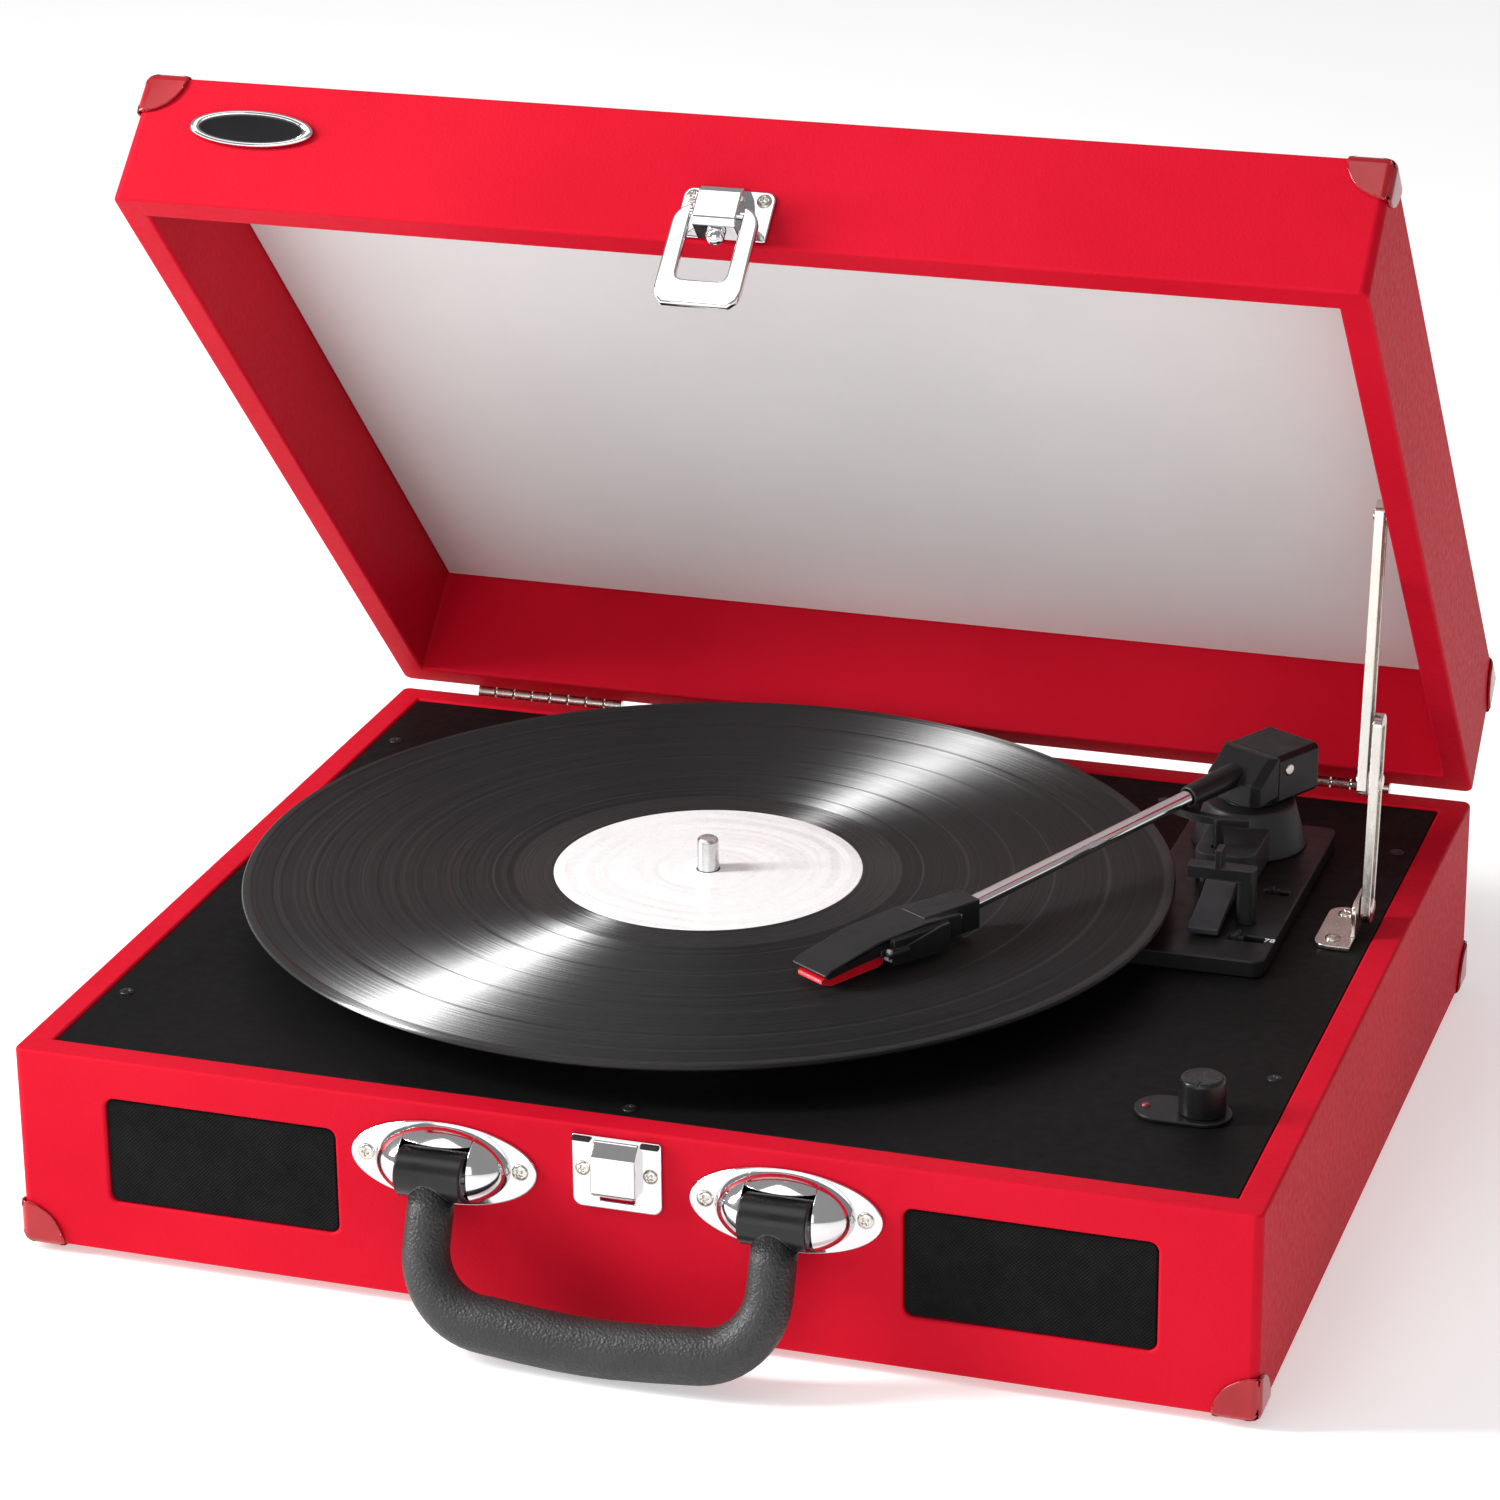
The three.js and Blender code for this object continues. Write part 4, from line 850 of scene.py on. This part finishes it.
def grip_path():
    """Points x, z and radius of the handle's right half, from its sleeve to the middle of the grip."""
    leg, grip, drop, bend = 7.1, 8.65, 44.3, 21.0
    path = [(HANDLE_X, -3.5, leg - 0.2), (HANDLE_X, -13.0, leg)]
    for i, (x, z) in enumerate(arc(HANDLE_X - bend, bend + 2 - drop, bend, 0, -90, 14)):
        path.append((x, z, leg + (grip - leg) * i / 14))
    return path + [(20.0, -drop + 0.9, grip), (8.0, -drop + 0.15, grip), (0.0, -drop, grip)]


def handle():
    """A grained grip under two smooth sleeves that turn on the brackets' pins."""
    path = grip_path()
    path += [(-x, z, r) for x, z, r in reversed(path[:-1])]
    rows = []
    for i, (x, z, r) in enumerate(path):
        before, after = path[max(i - 1, 0)], path[min(i + 1, len(path) - 1)]
        along = Vector((after[0] - before[0], 0, after[1] - before[1])).normalized()
        side = Vector((-along.z, 0, along.x))
        rows.append([Vector((x, v, z)) + side * u for u, v in ellipse(0, 0, r, r, 36)])
    shape = Shape().tube(rows)
    for sign in (-1, 1):
        x = sign * HANDLE_X
        sleeve = [
            (2.4, x - 10.5), (7.2, x - 10.5), (7.75, x - 9.9), (7.75, x + 9.9), (7.2, x + 10.5),
            (2.4, x + 10.5), (2.4, x - 10.5),
        ]
        shape.lathe("x", (0, 0), sleeve, mat=1, steps=56)
    piece(
        "carry_handle_grip", "handle", shape, HANDLE, [GRAIN, SMOOTH_BLACK],
        replaces=["carry_handle"],
    )


# ---------- latch ----------
LATCH_X = JOINTS["latch_loop_swing"]["pos_m"][0] / MM
ASIDE = moved(LATCH_X, 0, 0)


def catch():
    """A plate with folded lips at its top, and the rounded box that the loop hooks under."""
    face = FRONT - 0.1
    plate = Shape().prism("y", rounded(-14, 14, 39.4, 62.8, [3, 3, 0.8, 0.8]), face, face - 1.1)
    slot = Shape().box(-5.4, 5.4, face - 3, face + 1, 42.0, 44.4)
    shape = Shape().add(carved(plate, [slot]))
    for x0, x1 in ((-13.6, -7.8), (7.8, 13.6)):
        shape.box(x0, x1, face - 2.6, face - 1.0, 61.2, 62.7, mat=1)
    profile = [
        (face - 0.5, 61.8), (face - 1.6, 61.8), (face - 5.2, 57.8), (face - 5.2, 46.4),
        (face - 4.4, 45.0), (face - 0.5, 45.0),
    ]
    body = Shape().prism("x", profile, -7, 7)
    mouth = Shape().box(-5.4, 5.4, face - 4.0, face - 1.4, 42, 54)
    shape.add(carved(body, [mouth]))
    piece(
        "latch_catch_plate", "case", shape, CASE @ ASIDE, [CHROME, BLACK], 0.45, 3,
        replaces=["latch_catch"],
    )
    spots = [(-10.6, face - 1.1, 52.0, 20.0), (10.6, face - 1.1, 52.0, 55.0)]
    screws("catch_screws", "case", CASE @ ASIDE, NICKEL, spots, 2.3, "-y", 0.8)


def lid_latch():
    face = LID_FRONT - 0.3
    out = LID_FRONT - 10.5
    shape = Shape().prism("y", rounded(-14.3, 14.3, 1.6, 18.7, [0.8, 0.8, 3, 3]), face, face - 1.0)
    block = [(face - 0.5, 1.4), (out + 1.5, 1.4), (out, 3.4), (out, 12.2)]
    block += [(out + 1.4, 14.6), (out + 3.6, 16.4), (out + 6, 17.8), (face - 0.5, 17.8)]
    shape.prism("x", block, -6.8, 6.8)
    place = LID @ ASIDE
    piece("latch_lid_plate", "lid", shape, place, CHROME, 0.5, 3, replaces=["latch_plate"])
    ball = [(0, -2.4), *arc(0, 0.5, 2.9, -90, 90, 16)[1:-1], (0, 3.4)]
    tip = Shape().lathe("z", (0, LID_FRONT - 4.6), ball, steps=36)
    piece("latch_ball", "lid", tip, place, CHROME)
    spots = [(-11.0, face - 1.0, 15.4, 35.0), (11.0, face - 1.0, 15.4, 5.0)]
    screws("latch_screws", "lid", place, NICKEL, spots, 2.3, "-y", 0.8)


def loop():
    """A rounded frame that hangs from a pin through its two legs."""
    axis_y, axis_z = LID_FRONT - 7.2, 6.4
    outer = arc(-6.9, 2.5, 6.4, 100, 180, 8)
    outer += [(-13.4, -8), (-13.4, -20), (-12.5, -23.2), (-10.2, -25.4), (-4, -25.4)]
    inner = [(-7.9, 8.2 - 0.75 * i) for i in range(9)]
    inner += [(-7.9, -8), (-7.9, -14.6), (-7.2, -16.3), (-5.6, -16.9), (-3, -16.9)]
    outer += [(-x, z) for x, z in reversed(outer)]
    inner += [(-x, z) for x, z in reversed(inner)]
    thick, round_r = 1.3, 0.85
    rows = []
    for (px, pz), (qx, qz) in zip(inner, outer):
        width = math.hypot(qx - px, qz - pz)
        row = []
        for across, y in rounded(0, width, -thick, thick, min(round_r, width * 0.45), 4):
            share = across / width
            row.append((px + (qx - px) * share, axis_y + y, pz + (qz - pz) * share))
        rows.append(row)
    shape = Shape().tube(rows)
    shape.lathe("x", (axis_y, axis_z), [(0, -8.6), (1.3, -8.6), (1.3, 8.6), (0, 8.6)], steps=24)
    piece("latch_loop_ring", "latch_loop", shape, LID @ ASIDE, CHROME, replaces=["latch_loop"])


def badge():
    """A blank oval: a metal rim round a dark field."""
    x, z, rx, rz = -155.7, 27.8, 20.5, 6.5
    face = LID_FRONT - 0.3
    profile = [(0.0, 0.0), (0.0, 1.0), (0.35, 1.5), (0.9, 1.65), (1.4, 1.4), (1.6, 0.9), (1.6, 0.0)]
    steps = 72
    rows = []
    for c, s in ellipse(0, 0, 1, 1, steps):
        rows.append([(x + (rx - 2.1 * inset) * c, face - up, z + (rz - inset) * s) for inset, up in profile])
    shape = Shape().tube(rows, ring=True)
    shape.prism("y", ellipse(x, z, rx - 3.2, rz - 1.5, steps), face, face - 0.85, mat=1)
    piece("lid_badge_oval", "lid", shape, LID, [CHROME, BADGE], replaces=["lid_badge"])


# ---------- folding stay ----------
STAY_SLOPE = 81.75
LOWER_ARM_X = 182.4


def stay():
    for node in ("stay_lower_arm", "stay_upper_arm", "stay_bracket", "stay_lid_stud"):
        soften(node, NICKEL, 0.25)
    pivot = Vector(JOINTS["stay_lower_fold"]["pos_m"])
    pivot.x = CASE_ORIGIN.x + LOWER_ARM_X * MM
    place = moved(*pivot) @ turned("X", STAY_SLOPE) @ SCALE
    shape = Shape()
    for along, r in ((0.0, 3.1), (41.5, 3.0)):
        head = [(0, 1.3), (r, 1.3), (r, 1.7), (r * 0.72, 2.15), (0, 2.25)]
        shape.lathe("x", (along, 0), head, steps=28)
    piece("stay_rivets", "stay_lower", shape, place, STEEL, 0.1, 1)
    low = heights("stay_bracket")[0]
    spots = [(174.0, 33.3, low + 1.4, 25.0), (174.2, 53.6, low + 1.4, 60.0)]
    screws("stay_screws", "case", CASE, NICKEL, spots, 2.5, "+z", 0.75)


# ---------- record, platter and drive ----------
LABEL_R = 50.5
RECORD_R = 150.7


def record():
    low, top = heights("vinyl_record")
    top -= 0.02
    lip, bore = 0.95, 3.7
    profile = [(bore, low), (RECORD_R - 4, low), (RECORD_R - lip, low)]
    profile += arc(RECORD_R - lip, (low + top) / 2, lip, -90, 90, 8, (top - low) / 2)[1:-1]
    profile += [(RECORD_R - 2.6, top), (LEAD_IN_MM + 0.4, top - 0.3), (LEAD_IN_MM - 0.4, top - 0.34)]
    dip = ((0.7, 0.34), (0.3, 0.4), (-0.3, 0.4), (-0.7, 0.34))
    for gap in reversed(TRACK_GAPS_MM):
        profile += [(gap + out, top - down) for out, down in dip]
    profile += [
        (DEAD_WAX_MM + 0.3, top - 0.34), (DEAD_WAX_MM - 0.3, top - 0.42), (LABEL_R + 1.8, top - 0.42),
        (LABEL_R + 0.6, top - 0.08), (LABEL_R, top - 0.08), (LABEL_R - 0.4, top - 0.3),
        (bore, top - 0.3), (bore, low),
    ]
    disc = Shape().lathe("z", (0, 0), profile, steps=256)
    piece("record_disc", "platter", disc, TURN, VINYL, replaces=["vinyl_record"])
    pressed = [
        (3.9, -0.02), (9.5, -0.02), (10.2, 0.08), (11.0, -0.02), (14.5, -0.03), (15.6, -0.13), (17.0, -0.13),
        (18.0, -0.03), (33.6, 0.0), (34.2, -0.12), (35.4, -0.12), (36.2, 0.0), (43.6, 0.0), (44.6, -0.2),
        (45.8, -0.2), (46.6, 0.02), (LABEL_R - 0.9, 0.0), (LABEL_R - 0.5, -0.06),
    ]
    face = [(r, top - 0.1 + h) for r, h in pressed]
    face += [(LABEL_R - 0.45, top - 0.26), (3.9, top - 0.26), (3.9, top - 0.12)]
    label = Shape().lathe("z", (0, 0), face, steps=160)
    piece("record_label", "platter", label, TURN, LABEL)


def platter():
    foot, tip = heights("spindle")
    profile = [
        (0, foot), (3.5, foot), (3.5, tip - 1.6), (3.35, tip - 0.9), (2.7, tip - 0.25), (1.6, tip), (0, tip),
    ]
    shaft = Shape().lathe("z", (0, 0), profile, steps=40)
    piece("spindle_shaft", "platter", shaft, TURN, TURNED, 0.1, replaces=["spindle"])
    low, top = heights("slip_mat")
    profile = [(3.8, low), (96.9, low), (96.9, top - 0.3), (96.5, top)]
    for r in range(90, 54, -4):
        profile += [(r + 0.9, top), (r + 0.6, top - 0.35), (r - 0.6, top - 0.35), (r - 0.9, top)]
    mat = Shape().lathe("z", (0, 0), [*profile, (3.8, top), (3.8, low)], steps=96)
    piece("slip_mat_ribs", "platter", mat, TURN, RUBBER, replaces=["slip_mat"])
    soften("platter", TURNED, 0.3)
    inside = {
        BRASS: ("platter_bearing", "motor_pulley"),
        STEEL: ("motor", "speaker_left", "speaker_right"),
        RUBBER: ("drive_belt",),
        CIRCUIT: ("circuit_board",),
    }
    for look, nodes in inside.items():
        for node in nodes:
            repaint(node, look)


# ---------- tonearm ----------
PLATE_TOP = 70.9
TUBE_Z = 97.7
TUBE_RISE = 4.2
TUBE_R = 2.5
TUBE_END = 142.7
TUBE_SLOPE = moved(0, 0, TUBE_Z) @ turned("Y", TUBE_RISE)


def tonearm_base():
    soften("tonearm_plate", BLACK, 0.7, 3)
    soften("tonearm_post", GREY_PLASTIC, 0.5, 3)
    soften("cue_lever", GREY_PLASTIC, 0.35, 3)
    for node in ("arm_rest", "cue_lift", "speed_slider", "autostop_slider"):
        soften(node, BLACK, 0.15, 1)
    letters = bpy.data.curves.new("number", "FONT")
    letters.body = "78"
    letters.size = 3.6
    letters.extrude = 0.06
    holder = new_object("number", letters)
    mesh = evaluated(holder)
    bpy.data.objects.remove(holder)
    x, y = middle_of("speed_slider").xy
    place = CASE @ moved(x + 8.4, y - 1.3, PLATE_TOP)
    piece("speed_number", "case", Shape().add(mesh), place, PRINT)


def chamfer(shape, width, wanted):
    """Flat chamfers on the edges whose end points wanted() accepts."""
    edges = [e for e in shape.bm.edges if wanted(e.verts[0].co, e.verts[1].co)]
    bmesh.ops.bevel(shape.bm, geom=edges, offset=width, segments=1, profile=0.5, affect="EDGES")


def tonearm_head(half, low, top, seam):
    """The counterweighted head in front of the yoke, with a sloping faceted front and the tube's collar."""
    front = 10.5
    outline = [
        (seam + 0.3, low + 3.4), (front, low + 1.6), (front, top - 7.4), (2.2, top), (seam + 0.3, top),
    ]
    head = Shape().prism("y", outline, -half, half)
    chamfer(head, 2.3, lambda p, q: abs(p.y - q.y) < 0.1 and min(p.x, q.x) > 1)
    core = Shape().box(-17.8, seam + 1, -8.6, 8.6, low + 4.4, 101.3)
    collar = [(2.6, 8), (4.15, 8), (3.65, 30.6), (3.3, 31), (2.75, 31), (2.75, 10), (2.6, 8)]
    shape = Shape().add(head).add(core)
    shape.add(Shape().lathe("x", (0, 0), collar, steps=40), TUBE_SLOPE)
    piece("tonearm_head_shell", "tonearm", shape, ARM, BLACK, 0.35, 3, replaces=["tonearm_block"])


SHELL_X = 139.0
SHELL_TURN = -4
SHELL = ARM @ moved(SHELL_X, 0, 0) @ turned("Z", SHELL_TURN)
SHELL_Z = TUBE_Z - (SHELL_X + 4.0) * math.tan(math.radians(TUBE_RISE))


def finger_lift():
    """A thin strip along the shell's side with a pale tip, the clamp's screw and the stylus itself."""
    z = SHELL_Z
    strip = [(11, z - 5.2), (32, z - 4.8), (37.2, z - 1.8), (35.8, z + 1.2)]
    strip += [(30, z + 0.6), (14, z + 3.4), (11, z + 3.4)]
    shape = Shape().prism("y", strip, 9.6, 10.7)
    tip = [(35.4, z - 2.9), (37.4, z - 1.7), (36.0, z + 1.3), (35.0, z + 1.1)]
    shape.prism("y", tip, 9.5, 11.3, mat=1)
    shape.box(12, 18, 8.0, 10.0, z - 3, z + 1)
    piece("finger_lift_strip", "tonearm", shape, SHELL, [BLACK, GREY_TIP], 0.2, 2)
    screws("headshell_screw", "tonearm", SHELL, STEEL, [(2.5, 5.35, z + 1.2, 30.0)], 1.1, "+y", 0.5)
    low = heights("stylus_cartridge")[0]
    needle = [(0, low - 0.35), (0.12, low - 0.3), (0.3, low + 0.6), (0, low + 0.6)]
    point = Shape().lathe("z", (53.0, 0), needle, steps=12)
    piece("stylus_point", "tonearm", point, SHELL, NICKEL)


def tonearm():
    rear, seam, half, low, top = -22.0, -1.0, 11.5, 86.5, 103.4
    outer = Shape().box(rear, seam, -half, half, low, top)

    def rear_or_top(p, q):
        return min(p.x, q.x) < rear + 0.1 or (min(p.z, q.z) > top - 0.1 and abs(p.x - q.x) > 1)

    chamfer(outer, 1.6, rear_or_top)
    cavity = Shape().box(rear + 3, seam + 1, -half + 2.6, half - 2.6, low + 3, top - 1.6)
    yoke = Shape().add(carved(outer, [cavity]))
    stem, disc = heights("tonearm_yoke")[0], low - 0.05
    yoke.lathe("z", (0, 0), [(0, stem), (3.5, stem), (3.5, low + 0.9), (0, low + 0.9)], steps=32)
    yoke.lathe("z", (0, 0), [(0, disc), (8.7, disc), (8.95, low + 0.5), (0, low + 0.5)], steps=48)
    piece("tonearm_yoke_shell", "tonearm_swivel", yoke, ARM, BLACK, 0.35, 3, replaces=["tonearm_yoke"])
    tonearm_head(half, low, top, seam)
    tube = Shape().lathe("x", (0, 0), [(0, 10), (TUBE_R, 10), (TUBE_R, TUBE_END), (0, TUBE_END)], steps=48)
    piece("tonearm_tube_polished", "tonearm", tube, ARM @ TUBE_SLOPE, CHROME, 0.1, 1,
          replaces=["tonearm_tube"])
    caps = Shape()
    for side in (-1, 1):
        cap = ((0, 11.3), (2.0, 11.3), (2.0, 11.75), (1.4, 11.9), (0, 11.9))
        caps.lathe("y", (-6, 98), [(r, side * out) for r, out in cap], steps=28)
    piece("yoke_pins", "tonearm_swivel", caps, ARM, NICKEL, 0.05, 1)
    soften("headshell", BLACK, 0.45, 3)
    soften("stylus_cartridge", STYLUS, 0.25)
    finger_lift()


# ---------- controls ----------
def controls():
    x0, x1, y0, y1, z0, z1 = box_mm("control_plate")
    x, y = middle_of("volume_knob").xy
    outline = rounded(x0, x1, y0, y1, (y1 - y0) / 2 - 0.02, 20)
    plate = Shape().prism("z", outline, z0, z1 - 0.02)
    bore = [(0, z0 - 2), (4.2, z0 - 2), (4.2, z1 + 2), (0, z1 + 2)]
    cut = Shape().lathe("z", (x, y), bore, steps=32)
    piece(
        "control_plate_face", "case", Shape().add(carved(plate, [cut])), CASE, BLACK, 0.4, 3,
        replaces=["control_plate"],
    )
    bulb = [(0, z1 - 0.3), (1.3, z1 - 0.3), (1.3, z1 + 0.3), (0.9, z1 + 0.7), (0, z1 + 0.85)]
    lamp = Shape().lathe("z", (146.4, -103.0), bulb, steps=28)
    piece("power_lamp", "case", lamp, CASE, LAMP, 0.06, 1)
    foot, top = heights("volume_knob")
    skirt = z1 + 0.3
    profile = [
        (0, foot), (2.5, foot), (2.5, skirt), (7.1, skirt), (7.15, skirt + 0.7), (6.95, top - 1.3),
        (6.5, top - 0.4), (5.8, top), (5.1, top - 0.02), (4.7, top - 0.2), (0, top - 0.25),
    ]
    knob = Shape().lathe("z", (x, y), profile, steps=72)
    groove = Shape().box(x - 0.3, x + 0.3, y - 8, y - 3, top - 0.6, top + 1)
    piece(
        "volume_knob_cap", "volume_knob", Shape().add(carved(knob, [groove])), CASE, SMOOTH_BLACK, 0.1, 2,
        replaces=["volume_knob"],
    )


def rear_panel():
    soften("jack_plate", BLACK, 0.35)
    back = REAR + 1.6
    for name, x, look in (("red", -18.0, RCA_RED), ("white", -4.0, RCA_WHITE)):
        collar = [
            (4.25, back - 0.1), (5.6, back - 0.1), (5.6, back + 1.0), (5.2, back + 1.3), (4.25, back + 1.3),
            (4.25, back - 0.1),
        ]
        ring = Shape().lathe("y", (x, 31.0), collar, steps=36)
        piece(f"line_socket_{name}", "case", ring, CASE, look)
    spots = [(-29.5, back, 31.0, 10.0), (29.5, back, 31.0, 50.0)]
    screws("jack_screws", "case", CASE, STEEL, spots, 2.0, "+y", 0.6)


shells()
corners()
grilles()
feet()
deck_screws()
hinges()
brackets()
handle()
catch()
lid_latch()
loop()
badge()
stay()
record()
platter()
tonearm_base()
tonearm()
controls()
rear_panel()


# ---------- floor, light and camera ----------
FLOOR_HALF = 9000
FLOOR_GLOW = 0.42
WORLD_LIGHT = 0.36


def floor():
    shape = Shape()
    corners = rounded(-FLOOR_HALF, FLOOR_HALF, -FLOOR_HALF, FLOOR_HALF, 0)
    shape.face([shape.point("z", x, y, 0.0) for x, y in corners], 0)
    mesh = shape.mesh("floor")
    mesh.transform(SCALE)
    look = Look("floor_pale", 0.8, specular=0.1)
    look.set(look.shader, Emission_Color=(1.0, 1.0, 1.0, 1.0), Emission_Strength=FLOOR_GLOW)
    look.colour(grey(0.80), grey(0.84), 2.0)
    look.rough(0.7, 0.85, 40.0)
    mesh.materials.append(look.material)
    new_object("floor", mesh)


def area_light(name, place, size, watts, target=(0.0, 0.0, 0.1)):
    data = bpy.data.lights.new(name, "AREA")
    data.shape = "RECTANGLE"
    data.size, data.size_y = size
    data.energy = watts
    lamp = new_object(name, data)
    lamp.location = place
    lamp.rotation_euler = (Vector(target) - Vector(place)).to_track_quat("-Z", "Y").to_euler()
    return lamp


def studio():
    world = bpy.data.worlds.new("studio")
    world.use_nodes = True
    background = world.node_tree.nodes["Background"]
    background.inputs["Color"].default_value = (1.0, 1.0, 1.0, 1.0)
    background.inputs["Strength"].default_value = WORLD_LIGHT
    bpy.context.scene.world = world
    bpy.context.scene.view_settings.view_transform = "Standard"
    area_light("key", (-1.52, -0.57, 0.99), (0.28, 1.3), 50.0)
    area_light("front", (0.05, -2.2, 0.6), (2.0, 1.0), 12.0, (0.0, 0.1, 0.2))
    area_light("above", (-0.5, -0.6, 2.2), (1.2, 1.2), 8.0)
    # a strip that only the record sees, low on the left, for the bright wedge across its grooves
    streak = area_light("streak", (-0.87, -0.44, 0.44), (0.19, 0.42), 170.0)
    streak.visible_camera = False
    seen = bpy.data.collections.new("record_only")
    seen.objects.link(bpy.data.objects["record_disc"])
    streak.light_linking.receiver_collection = seen


CAMERA_AT = (450.66, -1398.32, 703.59)
CAMERA_AZIMUTH, CAMERA_DOWN, CAMERA_ROLL = -19.21, 21.77, -1.0


def camera():
    """A long lens that looks down on the part from its front right."""
    data = bpy.data.cameras.new("camera")
    data.sensor_width = 36.0
    data.lens = 118.9
    data.shift_x, data.shift_y = 0.0531, 0.0145
    data.clip_start, data.clip_end = 0.05, 60.0
    eye = new_object("camera", data)
    turn = turned("Z", -CAMERA_AZIMUTH) @ turned("X", 90 - CAMERA_DOWN) @ turned("Z", CAMERA_ROLL)
    eye.matrix_world = moved(*(CASE @ Vector(CAMERA_AT))) @ turn
    bpy.context.scene.camera = eye


floor()
studio()
camera()
